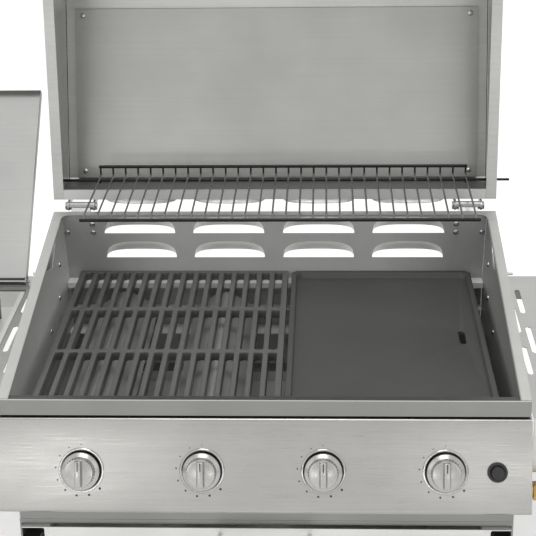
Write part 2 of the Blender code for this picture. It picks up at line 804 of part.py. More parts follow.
# Values that several pieces share
RIM_SLOPE = atan2(RIM_REAR_HEIGHT - RIM_FRONT_HEIGHT, RIM_REAR_DEPTH - RIM_FRONT_DEPTH)
OUTER_HALF_WIDTH = WALL_HALF_WIDTH + SIDE_RIM_WIDTH
REAR_TOP_DEPTH = RIM_REAR_DEPTH - END_RIM_WIDTH
FRONT_WALL_DEPTH = RIM_FRONT_DEPTH + END_RIM_WIDTH
INSIDE_HALF_WIDTH = WALL_HALF_WIDTH - CLEARANCE
LEDGE_HALF_WIDTH = INSIDE_HALF_WIDTH - CLEARANCE
LOUVRE_PLACES = (-LOUVRE_OUTER_PLACE, -LOUVRE_INNER_PLACE, LOUVRE_INNER_PLACE, LOUVRE_OUTER_PLACE)
TAMER_SEAT = -TAMER_FOOT_DROP - THIN_SHEET - CLEARANCE
BURNER_SEAT = -BURNER_DROP - BURNER_RADIUS - CLEARANCE
BURNER_PLACES = [(index - (BURNER_COUNT - 1) / 2) * BURNER_PITCH for index in range(BURNER_COUNT)]


def rim_height(depth):
    """Height of the firebox rim at a depth."""
    return RIM_FRONT_HEIGHT + (depth - RIM_FRONT_DEPTH) * tan(RIM_SLOPE)


REAR_LEAN = atan2(REAR_KNEE_DEPTH - REAR_TOP_DEPTH, rim_height(REAR_TOP_DEPTH) + REAR_KNEE_DROP)


def rear_wall_depth(height):
    """Depth of the rear panel's inner face at a height above the knee."""
    return REAR_TOP_DEPTH + (rim_height(REAR_TOP_DEPTH) - height) * tan(REAR_LEAN)


def screw_head(place, direction):
    """A low domed screw head, let a little into the face that it stands on."""
    crown = SCREW_HEAD_RADIUS * SCREW_CROWN_SHARE
    head = turned("screw_head", [(0.0, SCREW_HEAD), (crown, SCREW_HEAD),
                                 (SCREW_HEAD_RADIUS, SCREW_HEAD * SCREW_CROWN_SHARE),
                                 (SCREW_HEAD_RADIUS, -CLEARANCE), (0.0, -CLEARANCE)], BOLT_STEPS)
    return aim(head, place, direction)


def bolt(place, direction, grip):
    """A bolt let into the wall it starts from, with its nut behind the plate that it holds."""
    tail = -grip - CLEARANCE
    made = turned("bolt", [(0.0, SCREW_HEAD), (SCREW_HEAD_RADIUS * SCREW_CROWN_SHARE, SCREW_HEAD),
                           (SCREW_HEAD_RADIUS, SCREW_HEAD * SCREW_CROWN_SHARE),
                           (SCREW_HEAD_RADIUS, -CLEARANCE), (BOLT_RADIUS, -CLEARANCE),
                           (BOLT_RADIUS, tail), (SCREW_HEAD_RADIUS, tail),
                           (SCREW_HEAD_RADIUS, tail - SCREW_HEAD), (0.0, tail - SCREW_HEAD)],
                  BOLT_STEPS)
    return aim(made, place, direction)


def bolt_hole(place, direction):
    """Cutter for a bolt's hole, long enough for every wall it meets."""
    along = Vector(direction).normalized() * BOLT_HOLE_REACH
    radius = (BOLT_RADIUS + CLEARANCE) / cos(pi / BOLT_STEPS)
    return cylinder("bolt_hole", radius, Vector(place) - along, Vector(place) + along, BOLT_STEPS)


def aim(made, place, direction):
    """Turn a mesh from z to a direction and shift it to a place."""
    turn = Vector((0.0, 0.0, 1.0)).rotation_difference(Vector(direction)).to_matrix().to_4x4()
    made.data.transform(Matrix.Translation(place) @ turn)
    return made


def knuckle_bolt_places(side):
    """Places on the rear panel's inner face and the way the bolt heads point."""
    inward = (0.0, -cos(REAR_LEAN), -sin(REAR_LEAN))
    return [((side * KNUCKLE_BOLT_PLACE, rear_wall_depth(height), height), inward)
            for height in (KNUCKLE_BOLT_HEIGHT, KNUCKLE_BOLT_HEIGHT + KNUCKLE_BOLT_PITCH)]


def arm_bolt_places():
    """Places inside the right outer side wall for the table bracket's bolts."""
    inner_face = OUTER_HALF_WIDTH - SHEET
    drop = TABLE_DROP + THIN_SHEET + ARM_PLATE_HEIGHT / 2
    return [((inner_face, depth, -drop), (-1.0, 0.0, 0.0)) for depth in (ARM_FRONT, ARM_REAR)]


def louvre_cutter(name, place, height):
    """Cutter for one louvre, upright, through a panel whose face is at depth zero."""
    arch = [(place + (LOUVRE_HALF_WIDTH - LOUVRE_EDGE) * cos(pi * step / ROUND_STEPS),
             height + (LOUVRE_HOOD_HEIGHT - LOUVRE_EDGE) * sin(pi * step / ROUND_STEPS))
            for step in range(0, ROUND_STEPS + 1, 4)]
    outline = arch + [(place - LOUVRE_HALF_WIDTH + LOUVRE_EDGE, height - LOUVRE_MOUTH),
                      (place + LOUVRE_HALF_WIDTH - LOUVRE_EDGE, height - LOUVRE_MOUTH)]
    return extrude(name, outline, -OVERRUN, OVERRUN, "Y")


def louvre_hood(name, place, height, face):
    """Pressed hood of one louvre: a quarter of a flattened ball, open below."""
    mesh = bpy.data.meshes.new(name)
    shape = bmesh.new()
    bmesh.ops.create_uvsphere(shape, u_segments=HOOD_STEPS * 2, v_segments=HOOD_STEPS,
                              radius=1.0)
    for normal in ((0.0, -1.0, 0.0), (0.0, 0.0, -1.0)):
        everything = shape.verts[:] + shape.edges[:] + shape.faces[:]
        bmesh.ops.bisect_plane(shape, geom=everything, dist=WELD, plane_co=(0.0, 0.0, 0.0),
                               plane_no=normal, clear_outer=True)
    bmesh.ops.scale(shape, vec=(LOUVRE_HALF_WIDTH, LOUVRE_HOOD_DEPTH, LOUVRE_HOOD_HEIGHT),
                    verts=shape.verts)
    bmesh.ops.translate(shape, vec=(place, face, height), verts=shape.verts)
    shape.to_mesh(mesh)
    shape.free()
    hood = add_object(name, mesh)
    wall = hood.modifiers.new("wall", "SOLIDIFY")
    wall.thickness = THIN_SHEET
    wall.offset = 1.0
    bpy.context.view_layer.update()
    return bake(hood)


def louvres(panel, rows, face, turn, pivot):
    """Cut rows of louvres in a panel and press their hoods, turned with the panel."""
    for place in LOUVRE_PLACES:
        for height in rows:
            cutter = move(louvre_cutter("louvre_cutter", place, height), pivot, turn)
            cut(panel, cutter)
            hood = move(louvre_hood("louvre_hood", place, height, face), pivot, turn)
            fuse(panel, hood)
    return panel


def firebox_side():
    """Right side: inner wall with a spit window, top flange and outer wall."""
    front = RIM_FRONT_DEPTH + SHEET + CLEARANCE
    end = REAR_KNEE_DEPTH + SHEET
    step = RIM_REAR_DEPTH - RIM_CORNER_REACH
    under = SHEET + CLEARANCE
    high = rim_height(RIM_REAR_DEPTH)
    low_front = FRONT_WALL_DEPTH - SHEET
    notch = RIM_FRONT_HEIGHT - FRONT_SKIRT_HEIGHT
    outline = [(low_front, -FIREBOX_DROP), (end, -FIREBOX_DROP), (end, high - under),
               (RIM_REAR_DEPTH, high - under), (step, rim_height(step) - under),
               (step, rim_height(step)), (front, rim_height(front)), (front, notch),
               (low_front, notch)]
    side = extrude("firebox_right_side", outline, WALL_HALF_WIDTH, OUTER_HALF_WIDTH)
    before, beyond = front - OVERRUN, end + OVERRUN
    below, above = -FIREBOX_DROP - OVERRUN, high + OVERRUN
    gap = [(before, below), (beyond, below), (beyond, above), (step, above),
           (step, rim_height(step) - SHEET), (before, rim_height(before) - SHEET)]
    cut(side, extrude("gap", gap, WALL_HALF_WIDTH + SHEET, OUTER_HALF_WIDTH - SHEET))
    middle = (WALL_HALF_WIDTH + OUTER_HALF_WIDTH) / 2
    outside = OUTER_HALF_WIDTH + OVERRUN
    cut(side, box("under_outer_wall", (middle, before, below), (outside, beyond, -OUTER_SIDE_DROP)),
        box("behind_outer_wall", (middle, RIM_REAR_DEPTH, below), (outside, beyond, above)))
    inside = WALL_HALF_WIDTH - OVERRUN
    lean = [(rear_wall_depth(above) + SHEET, above), (end, -REAR_KNEE_DROP),
            (beyond, -REAR_KNEE_DROP), (beyond, above)]
    window = rounded([(SPIT_WINDOW_FRONT, rim_height(SPIT_WINDOW_FRONT) - SPIT_WINDOW_MARGIN),
                      (SPIT_WINDOW_LOW_DEPTH, SPIT_WINDOW_LOW_HEIGHT),
                      (SPIT_WINDOW_REAR, rim_height(SPIT_WINDOW_REAR) - SPIT_WINDOW_MARGIN)],
                     [0.0, SPIT_WINDOW_RADIUS, 0.0], closed=True)
    cut(side, extrude("behind_inner_wall", lean, inside, middle),
        extrude("spit_window", window, inside, middle))
    for setback, height in zip(WALL_SCREW_SETBACKS, WALL_SCREW_HEIGHTS):
        place = (WALL_HALF_WIDTH, REAR_KNEE_DEPTH - setback, height)
        fuse(side, screw_head(place, (-1.0, 0.0, 0.0)))
    for place, direction in arm_bolt_places():
        fuse(side, bolt(place, direction, SHEET + CLEARANCE + ARM_PLATE))
    root = (OUTER_HALF_WIDTH - SHEET / 2, SPIT_BOLT_DEPTH, SPIT_BOLT_HEIGHT)
    tip = (OUTER_HALF_WIDTH + SPIT_BOLT_REACH, SPIT_BOLT_DEPTH, SPIT_BOLT_HEIGHT)
    return fuse(side, cylinder("spit_bolt", SPIT_BOLT_RADIUS, root, tip))


def build_firebox():
    """Side walls, rear panel with louvres and front wall."""
    right = firebox_side()
    left = mirrored(right, "firebox_left_side")
    finish_node(right, "painted_rim", GRILL)
    finish_node(left, "painted_rim", GRILL)

    wall_line = [(REAR_TOP_DEPTH, rim_height(REAR_TOP_DEPTH) - SHEET / 2),
                 (REAR_KNEE_DEPTH, -REAR_KNEE_DROP), (REAR_KNEE_DEPTH, -FIREBOX_DROP)]
    outline = strip(wall_line[::-1], SHEET)
    rear = extrude("firebox_rear_panel", outline, -INSIDE_HALF_WIDTH, INSIDE_HALF_WIDTH)
    lean = (0.0, REAR_TOP_DEPTH, rim_height(REAR_TOP_DEPTH))
    rows = [(height - lean[2]) / cos(REAR_LEAN)
            for height in (LOUVRE_UPPER_HEIGHT, LOUVRE_LOWER_HEIGHT)]
    louvres(rear, rows, SHEET / 2, REAR_LEAN, lean)
    reach = RIM_CORNER_REACH / cos(RIM_SLOPE)
    width = END_RIM_WIDTH / cos(RIM_SLOPE)
    corner = [(OUTER_HALF_WIDTH, 0.0), (OUTER_HALF_WIDTH, reach - CLEARANCE),
              (WALL_HALF_WIDTH, reach - CLEARANCE), (WALL_HALF_WIDTH, width)]
    right_half = rounded([*corner, (0.0, width)], [0.0, 0.0, 0.0, RIM_CORNER_RADIUS, 0.0])[:-1]
    left_half = [(-across, along) for across, along in reversed(right_half)]
    plate_outline = [(across, -along) for across, along in right_half + left_half]
    plate = extrude("rear_rim", plate_outline, -SHEET, 0.0, "Z")
    move(plate, (0.0, RIM_REAR_DEPTH, rim_height(RIM_REAR_DEPTH)), RIM_SLOPE)
    fuse(rear, plate)
    for side in (1, -1):
        for place, direction in knuckle_bolt_places(side):
            fuse(rear, bolt(place, direction, SHEET + CLEARANCE + KNUCKLE_PLATE))
        corner = (side * CORNER_SCREW_PLACE, rear_wall_depth(CORNER_SCREW_HEIGHT),
                  CORNER_SCREW_HEIGHT)
        fuse(rear, screw_head(corner, (0.0, -cos(REAR_LEAN), -sin(REAR_LEAN))))
    fuse(rear, *rear_ledges())
    finish_node(rear, "dark_wall", GRILL)

    face = RIM_FRONT_HEIGHT
    line = [(FRONT_WALL_DEPTH, -FIREBOX_DROP), (FRONT_WALL_DEPTH, face),
            (RIM_FRONT_DEPTH, face), (RIM_FRONT_DEPTH, face - END_RIM_WIDTH)]
    front = extrude("firebox_front_wall", strip(line[::-1], SHEET)[::-1],
                    -INSIDE_HALF_WIDTH, INSIDE_HALF_WIDTH)
    fuse(front, box("front_skirt", (-OUTER_HALF_WIDTH, RIM_FRONT_DEPTH, face - FRONT_SKIRT_HEIGHT),
                    (OUTER_HALF_WIDTH, RIM_FRONT_DEPTH + SHEET, face)))
    for place in BURNER_PLACES:
        cut(front, cylinder("burner_hole", BURNER_RADIUS + CLEARANCE,
                            (place, FRONT_WALL_DEPTH - OVERRUN, -BURNER_DROP),
                            (place, FRONT_WALL_DEPTH + OVERRUN, -BURNER_DROP), ROUND_STEPS))
    fuse(front, *front_ledges())
    finish_node(front, "painted_rim", GRILL)


def rear_ledges():
    """Ledges welded to the rear panel: for the plates, the flame tamers and the burners."""
    wall = REAR_KNEE_DEPTH + SHEET / 2
    top = -GRATE_THICKNESS - CLEARANCE
    line = [(wall, top), (REAR_KNEE_DEPTH - LEDGE_REAR_REACH, top),
            (REAR_KNEE_DEPTH - LEDGE_REAR_REACH, top - LEDGE_LIP)]
    ledges = [extrude("plate_ledge", strip(line[::-1], SHEET), -LEDGE_HALF_WIDTH,
                      LEDGE_HALF_WIDTH)]
    for seat, reach in ((TAMER_SEAT, RAIL_SHELF), (BURNER_SEAT, BURNER_SHELF)):
        ledges.append(box("shelf", (-LEDGE_HALF_WIDTH, REAR_KNEE_DEPTH - reach, seat - SHEET),
                          (LEDGE_HALF_WIDTH, wall, seat)))
    return ledges


def front_ledges():
    """Ledges welded to the front wall: for the plates and for the flame tamers."""
    wall = FRONT_WALL_DEPTH - SHEET / 2
    top = -GRATE_THICKNESS - CLEARANCE
    line = [(wall, top), (FRONT_WALL_DEPTH + LEDGE_FRONT_REACH, top),
            (FRONT_WALL_DEPTH + LEDGE_FRONT_REACH, top - LEDGE_LIP)]
    return [extrude("plate_ledge", strip(line, SHEET), -LEDGE_HALF_WIDTH, LEDGE_HALF_WIDTH),
            box("shelf", (-LEDGE_HALF_WIDTH, wall, TAMER_SEAT - SHEET),
                (LEDGE_HALF_WIDTH, FRONT_WALL_DEPTH + RAIL_SHELF, TAMER_SEAT))]


def rectangle(left, right, front, rear):
    """Outline of a rectangle."""
    return [(left, front), (right, front), (right, rear), (left, rear)]


def build_cooking_plates():
    """Cast grate with three rows of slots, and the griddle plate beside it."""
    slot = (GRATE_RIGHT - GRATE_LEFT - GRATE_BAR_WIDTH) / GRATE_SLOT_COUNT - GRATE_BAR_WIDTH
    crossing = (GRATE_ROW_COUNT - 1) * GRATE_CROSS_BAR
    usable = GRATE_REAR - GRATE_REAR_BORDER - GRATE_FRONT - GRATE_FRONT_BORDER - crossing
    row = usable / GRATE_ROW_COUNT
    holes = []
    for column in range(GRATE_SLOT_COUNT):
        across = GRATE_LEFT + GRATE_BAR_WIDTH + slot / 2 + column * (slot + GRATE_BAR_WIDTH)
        for line in range(GRATE_ROW_COUNT):
            along = GRATE_FRONT + GRATE_FRONT_BORDER + row / 2 + line * (row + GRATE_CROSS_BAR)
            holes.append(slot_outline((across, along), row, slot, steps=SLOT_STEPS))
    outline = rectangle(GRATE_LEFT, GRATE_RIGHT, GRATE_FRONT, GRATE_REAR)
    grate = extrude("cast_grate", outline, -GRATE_THICKNESS, 0.0, "Z", holes)
    finish_node(grate, "cast_iron", GRILL)

    corner = GRIDDLE_CHAMFER
    outline = [(GRIDDLE_LEFT, GRATE_FRONT), (GRIDDLE_RIGHT, GRATE_FRONT),
               (GRIDDLE_RIGHT, GRATE_REAR - corner), (GRIDDLE_RIGHT - corner, GRATE_REAR),
               (GRIDDLE_LEFT + corner, GRATE_REAR), (GRIDDLE_LEFT, GRATE_REAR - corner)]
    hole = slot_outline((GREASE_HOLE_PLACE, (GREASE_HOLE_FRONT + GREASE_HOLE_REAR) / 2),
                        GREASE_HOLE_REAR - GREASE_HOLE_FRONT, GREASE_HOLE_WIDTH)
    griddle = extrude("griddle_plate", outline, -GRATE_THICKNESS, 0.0, "Z", [hole])
    rim = GRIDDLE_RIM_WIDTH
    pocket = extrude("pocket", [
        (GRIDDLE_LEFT + rim, GRATE_FRONT + rim), (GRIDDLE_RIGHT - rim, GRATE_FRONT + rim),
        (GRIDDLE_RIGHT - rim, GRATE_REAR - rim - corner),
        (GRIDDLE_RIGHT - rim - corner, GRATE_REAR - rim),
        (GRIDDLE_LEFT + rim + corner, GRATE_REAR - rim),
        (GRIDDLE_LEFT + rim, GRATE_REAR - rim - corner)],
        -GRIDDLE_FLOOR_DROP, OVERRUN, "Z")
    taper = 1.0 - GRIDDLE_RIM_SLOPE * 2 / (GRATE_REAR - GRATE_FRONT)
    floor = [vertex for vertex in pocket.data.vertices if vertex.co.z < 0]
    middle = Vector(((GRIDDLE_LEFT + GRIDDLE_RIGHT) / 2, (GRATE_FRONT + GRATE_REAR) / 2, 0.0))
    for vertex in floor:
        vertex.co.x = middle.x + (vertex.co.x - middle.x) * taper
        vertex.co.y = middle.y + (vertex.co.y - middle.y) * taper
    cut(griddle, pocket)
    finish_node(griddle, "griddle_enamel", GRILL)


def build_burners():
    """Tube burners with their electrodes, and the flame tamers over them."""
    length = BURNER_REAR - BURNER_MOUTH
    radius, neck, wall = BURNER_RADIUS, BURNER_NECK_RADIUS, BURNER_WALL
    slope = radius - neck
    start, end = BURNER_NECK_START, BURNER_NECK_END
    profile = [(0.0, length), (radius, length), (radius, end), (neck, end - slope),
               (neck, start + slope), (radius, start), (radius, 0.0), (radius - wall, 0.0),
               (radius - wall, start), (neck - wall, start + slope),
               (neck - wall, end - slope), (radius - wall, end),
               (radius - wall, length - wall), (0.0, length - wall)]
    shape = move(turned("burner", profile, BURNER_STEPS), (0.0, BURNER_MOUTH, -BURNER_DROP),
                 -pi / 2)
    across, root = ELECTRODE_OFFSET, ELECTRODE_START + ELECTRODE_LENGTH
    fuse(shape, box("clip", (radius - wall / 2, ELECTRODE_CLIP_START, -BURNER_DROP - wall),
                    (across, ELECTRODE_CLIP_START + ELECTRODE_CLIP_WIDTH, -BURNER_DROP + wall)),
         cylinder("electrode", ELECTRODE_RADIUS, (across, ELECTRODE_START, -BURNER_DROP),
                  (across, root, -BURNER_DROP)),
         cylinder("tip", ELECTRODE_TIP_RADIUS, (across, root - wall, -BURNER_DROP),
                  (across, root + ELECTRODE_TIP_LENGTH, -BURNER_DROP), BOLT_STEPS))
    line = [(-TAMER_HALF_WIDTH, -TAMER_FOOT_DROP), (-TAMER_TOP_HALF_WIDTH, -TAMER_TOP_DROP),
            (TAMER_TOP_HALF_WIDTH, -TAMER_TOP_DROP), (TAMER_HALF_WIDTH, -TAMER_FOOT_DROP)]
    tent = extrude("tamer", strip(line, THIN_SHEET), TAMER_FRONT, TAMER_REAR, "Y")
    for number, place in enumerate(BURNER_PLACES, 1):
        burner = add_object(f"burner_{number}", shape.data.copy())
        finish_node(burner, "brushed_steel", GRILL, place=(place, 0.0, 0.0))
        tamer = add_object(f"flame_tamer_{number}", tent.data.copy())
        finish_node(tamer, "brushed_steel", GRILL, place=(place, 0.0, 0.0))
    bpy.data.objects.remove(shape, do_unlink=True)
    bpy.data.objects.remove(tent, do_unlink=True)


def panel_normal():
    """Unit vector out of the leaning fascia."""
    rise = PANEL_FOOT_DROP - PANEL_TOP_DROP
    run = PANEL_TOP_DEPTH - PANEL_FOOT_DEPTH
    size = hypot(rise, run)
    return Vector((0.0, -rise / size, run / size))


def knob_seat():
    """Point on the fascia where a knob's axis passes, over the middle of the grill."""
    share = KNOB_PLACE_SHARE
    return Vector((0.0, PANEL_TOP_DEPTH + share * (PANEL_FOOT_DEPTH - PANEL_TOP_DEPTH),
                   -PANEL_TOP_DROP - share * (PANEL_FOOT_DROP - PANEL_TOP_DROP)))


def knob_places():
    """Seat and outward direction of each knob: four on the fascia, one on the left table."""
    seats = [(knob_seat() + Vector((place, 0.0, 0.0)), panel_normal()) for place in BURNER_PLACES]
    side = Vector((SIDE_KNOB_PLACE, TABLE_FRONT, -SIDE_KNOB_DROP))
    return seats + [(side, Vector((0.0, -1.0, 0.0)))]


def bezel(seat, direction):
    """Raised ring round a stem hole, let into the sheet that carries it."""
    top, foot = BEZEL_THICKNESS, -THIN_SHEET / 2
    profile = [(0.0, top), (BEZEL_RADIUS - top, top), (BEZEL_RADIUS, CLEARANCE),
               (BEZEL_RADIUS, foot), (0.0, foot)]
    return aim(turned("bezel", profile), seat, direction)


def stem_hole(seat, direction):
    """Cutter for the hole that a valve stem passes."""
    along = direction * OVERRUN
    return cylinder("stem_hole", STEM_HOLE_RADIUS, seat - along, seat + along, ROUND_STEPS)


def build_panel():
    """Control panel with its end cheeks and bezels, the igniter's collar and its button."""
    back = FRONT_WALL_DEPTH - SHEET - CLEARANCE
    corners = [(back, -PANEL_RETURN_DROP),
               (PANEL_FOOT_DEPTH + PANEL_RETURN_DROP - PANEL_FOOT_DROP, -PANEL_RETURN_DROP),
               (PANEL_FOOT_DEPTH, -PANEL_FOOT_DROP), (PANEL_TOP_DEPTH, -PANEL_TOP_DROP),
               (back, -PANEL_TOP_DROP)]
    bend = PANEL_BEND_RADIUS
    path = rounded(corners, [0.0, 0.0, bend, bend, 0.0])
    panel = extrude("control_panel", path, -PANEL_HALF_WIDTH, PANEL_HALF_WIDTH)
    hollow = inset(path, THIN_SHEET)
    hollow = [(back + OVERRUN, hollow[0][1]), *hollow[1:-1], (back + OVERRUN, hollow[-1][1])]
    inner = PANEL_HALF_WIDTH - THIN_SHEET
    cut(panel, extrude("hollow", hollow, -inner, inner))
    normal = panel_normal()
    for seat, direction in knob_places()[:BURNER_COUNT]:
        fuse(panel, bezel(seat, direction))
        cut(panel, stem_hole(seat, direction))
    igniter = knob_seat() + Vector((IGNITER_PLACE, 0.0, 0.0))
    cut(panel, cylinder("igniter_hole", IGNITER_SLEEVE_RADIUS + CLEARANCE,
                        igniter - normal * OVERRUN, igniter + normal * OVERRUN, ROUND_STEPS))
    for end, radius in ((1, INLET_RADIUS), (-1, SIDE_SUPPLY_RADIUS)):
        middle = Vector((end * PANEL_HALF_WIDTH, MANIFOLD_DEPTH, -MANIFOLD_DROP))
        along = Vector((OVERRUN, 0.0, 0.0))
        cut(panel, cylinder("pipe_hole", radius + CLEARANCE, middle - along, middle + along))
    finish_node(panel, "brushed_steel", GRILL)

    bore = IGNITER_RADIUS + CLEARANCE
    top, foot = IGNITER_COLLAR_HEIGHT + CLEARANCE, CLEARANCE
    collar = turned("igniter_collar", [
        (bore, top), (IGNITER_COLLAR_RADIUS, top), (IGNITER_COLLAR_RADIUS, foot),
        (IGNITER_SLEEVE_RADIUS, foot), (IGNITER_SLEEVE_RADIUS, -IGNITER_SLEEVE_DEPTH),
        (bore, -IGNITER_SLEEVE_DEPTH), (bore, top)])
    finish_node(aim(collar, igniter, normal), "black_plastic", GRILL)
    frame = empty("igniter_axis", igniter, GRILL, atan2(-normal.y, normal.z))
    edge = KNOB_EDGE
    button = turned("igniter_button", [
        (0.0, IGNITER_REACH), (IGNITER_RADIUS - edge, IGNITER_REACH),
        (IGNITER_RADIUS, IGNITER_REACH - edge), (IGNITER_RADIUS, -IGNITER_SHAFT),
        (0.0, -IGNITER_SHAFT)])
    finish_node(button, "black_plastic", frame)


def build_knobs():
    """Knobs and the valve stems that they turn on, each in its own axis frame."""
    for number, (seat, direction) in enumerate(knob_places(), 1):
        label = f"_{number}" if number <= BURNER_COUNT else "_for_side_burner"
        frame = empty("knob_axis" + label, seat, GRILL, atan2(-direction.y, direction.z))
        low = KNOB_STANDOFF
        body = low + KNOB_HEIGHT - KNOB_GRIP_HEIGHT
        knob = turned("knob" + label, [
            (0.0, body), (KNOB_RADIUS - KNOB_EDGE, body), (KNOB_RADIUS, body - KNOB_EDGE),
            (KNOB_RADIUS, low + KNOB_SKIRT_HEIGHT + KNOB_EDGE),
            (KNOB_SKIRT_RADIUS, low + KNOB_SKIRT_HEIGHT), (KNOB_SKIRT_RADIUS, low),
            (STEM_RADIUS + CLEARANCE, low), (STEM_RADIUS + CLEARANCE, low + KNOB_BORE_DEPTH),
            (0.0, low + KNOB_BORE_DEPTH)])
        reach = KNOB_RADIUS - KNOB_EDGE
        grip = box("grip", (-KNOB_GRIP_WIDTH / 2, -reach, body - KNOB_EDGE),
                   (KNOB_GRIP_WIDTH / 2, reach, low + KNOB_HEIGHT))
        fuse(knob, grip)
        finish_node(knob, "knob_metal", frame)
        collar = -STEM_COLLAR_PLACE
        stem = turned("valve_stem" + label, [
            (0.0, STEM_REACH), (STEM_RADIUS, STEM_REACH), (STEM_RADIUS, collar),
            (STEM_COLLAR_RADIUS, collar), (STEM_COLLAR_RADIUS, collar - STEM_COLLAR),
            (STEM_RADIUS, collar - STEM_COLLAR), (STEM_RADIUS, -STEM_INNER_REACH),
            (0.0, -STEM_INNER_REACH)], SMALL_STEPS)
        finish_node(stem, "brass", frame)


def valve(body, seat, direction, jet_start, jet_drop):
    """One gas valve: a block, a nose with a bore for the stem, and a jet to the back."""
    block = box("valve", *body)
    nose = cylinder("nose", VALVE_NOSE_RADIUS, seat - direction * VALVE_NOSE_ROOT,
                    seat - direction * VALVE_NOSE_SHORTFALL)
    jet = cylinder("jet", JET_RADIUS, (seat.x, jet_start - STEM_COLLAR, -jet_drop),
                   (seat.x, jet_start + JET_LENGTH, -jet_drop))
    fuse(block, nose, jet)
    bore = cylinder("bore", STEM_RADIUS + CLEARANCE,
                    seat - direction * (STEM_INNER_REACH + STEM_TRAVEL + CLEARANCE), seat)
    return cut(block, bore)


def build_gas_train():
    """Manifold with its inlet, the side supply pipe and the five valves screwed on it."""
    depth, drop = MANIFOLD_DEPTH, -MANIFOLD_DROP
    pipe = cylinder("gas_manifold", MANIFOLD_RADIUS, (MANIFOLD_LEFT, depth, drop),
                    (MANIFOLD_RIGHT, depth, drop), ROUND_STEPS)
    inlet = cylinder("inlet", INLET_RADIUS, (MANIFOLD_RIGHT - OVERRUN, depth, drop),
                     (INLET_REACH, depth, drop))
    nut_end = INLET_REACH - OVERRUN
    nut = cylinder("nut", INLET_NUT_RADIUS, (nut_end - INLET_NUT_LENGTH, depth, drop),
                   (nut_end, depth, drop), HEX_SIDES)
    bore = cylinder("bore", INLET_RADIUS - SHEET, (MANIFOLD_RIGHT, depth, drop),
                    (INLET_REACH + OVERRUN, depth, drop))
    side_depth = TABLE_FRONT + THIN_SHEET + SIDE_VALVE_FRONT_GAP
    side_rear = side_depth + SIDE_VALVE_DEPTH
    side_middle = (side_depth + side_rear) / 2
    side_foot = -SIDE_KNOB_DROP - VALVE_HALF_WIDTH
    corners = [(MANIFOLD_LEFT + OVERRUN, depth, drop), (-TABLE_INNER - PIPE_BEND, depth, drop),
               (-TABLE_INNER - PIPE_BEND * 2, side_middle, drop),
               (SIDE_KNOB_PLACE, side_middle, drop),
               (SIDE_KNOB_PLACE, side_middle, side_foot + SIDE_SUPPLY_RADIUS)]
    bends = [0.0, PIPE_BEND / 3, PIPE_BEND / 3, PIPE_BEND / 2, 0.0]
    supply = tube("supply", rounded(corners, bends), SIDE_SUPPLY_RADIUS)
    fuse(pipe, inlet, nut, supply)
    cut(pipe, bore)
    for seat, direction in knob_places()[:BURNER_COUNT]:
        body = ((seat.x - VALVE_HALF_WIDTH, VALVE_FRONT, -MANIFOLD_DROP),
                (seat.x + VALVE_HALF_WIDTH, VALVE_REAR, -VALVE_TOP_DROP))
        fuse(pipe, valve(body, seat, direction, VALVE_REAR, BURNER_DROP))
    seat, direction = knob_places()[BURNER_COUNT]
    body = ((seat.x - VALVE_HALF_WIDTH, side_depth, side_foot),
            (seat.x + VALVE_HALF_WIDTH, side_rear, -SIDE_KNOB_DROP + VALVE_HALF_WIDTH))
    fuse(pipe, valve(body, seat, direction, side_rear, SIDE_KNOB_DROP))
    finish_node(pipe, "brass", GRILL)


def build_hinges():
    """Fixed knuckles bolted to the rear panel, each with its pressed-in pin."""
    lean = Vector((0.0, cos(REAR_LEAN), sin(REAR_LEAN)))
    skin = (SHEET + CLEARANCE) / cos(REAR_LEAN)
    plate = KNUCKLE_PLATE / cos(REAR_LEAN)

    def back(height, extra=0.0):
        return (rear_wall_depth(height) + skin + extra, height)

    foot, top = KNUCKLE_PLATE_FOOT, KNUCKLE_PLATE_TOP
    outer = HINGE_PLACE + KNUCKLE_HALF_LENGTH
    knuckle = extrude("right_hinge_knuckle", [back(foot), back(foot, plate), back(top, plate), back(top)],
                      KNUCKLE_PLATE_INNER, outer)
    half_web = KNUCKLE_RADIUS * KNUCKLE_WEB_SHARE
    low = foot + (top - foot) * KNUCKLE_WEB_FOOT_SHARE
    web = extrude("web", [back(low, plate / 2), (HINGE_DEPTH + half_web, HINGE_HEIGHT),
                          (HINGE_DEPTH - half_web, HINGE_HEIGHT),
                          back(top - plate / 2, plate / 2)],
                  HINGE_PLACE - KNUCKLE_WEB_HALF_LENGTH, HINGE_PLACE + KNUCKLE_WEB_HALF_LENGTH)
    axis_start = (HINGE_PLACE - KNUCKLE_HALF_LENGTH, HINGE_DEPTH, HINGE_HEIGHT)
    axis_end = (outer, HINGE_DEPTH, HINGE_HEIGHT)
    fuse(knuckle, web, cylinder("barrel", KNUCKLE_RADIUS, axis_start, axis_end))
    for place, direction in knuckle_bolt_places(1):
        cut(knuckle, bolt_hole(Vector(place) + lean * skin, direction))
    reach = KNUCKLE_HALF_LENGTH + LUG_THICKNESS + CLEARANCE * 2
    head, radius = HINGE_PIN_HEAD_RADIUS, HINGE_PIN_RADIUS
    pin = turned("hinge_pin", [
        (0.0, reach + HINGE_PIN_HEAD), (head, reach + HINGE_PIN_HEAD), (head, reach),
        (radius, reach), (radius, -reach), (head, -reach), (head, -reach - HINGE_PIN_HEAD),
        (0.0, -reach - HINGE_PIN_HEAD)], SMALL_STEPS)
    fuse(knuckle, aim(pin, (HINGE_PLACE, HINGE_DEPTH, HINGE_HEIGHT), (1.0, 0.0, 0.0)))
    finish_node(mirrored(knuckle, "left_hinge_knuckle"), "chrome", GRILL)
    finish_node(knuckle, "chrome", GRILL)


def lid_point(depth, height):
    """Place in the lid's frame of a point of the working frame, at the open rest pose."""
    back, up = depth - HINGE_DEPTH, height - HINGE_HEIGHT
    forward = back * sin(LID_LEAN) + up * cos(LID_LEAN)
    rise = back * cos(LID_LEAN) - up * sin(LID_LEAN)
    return -forward, rise


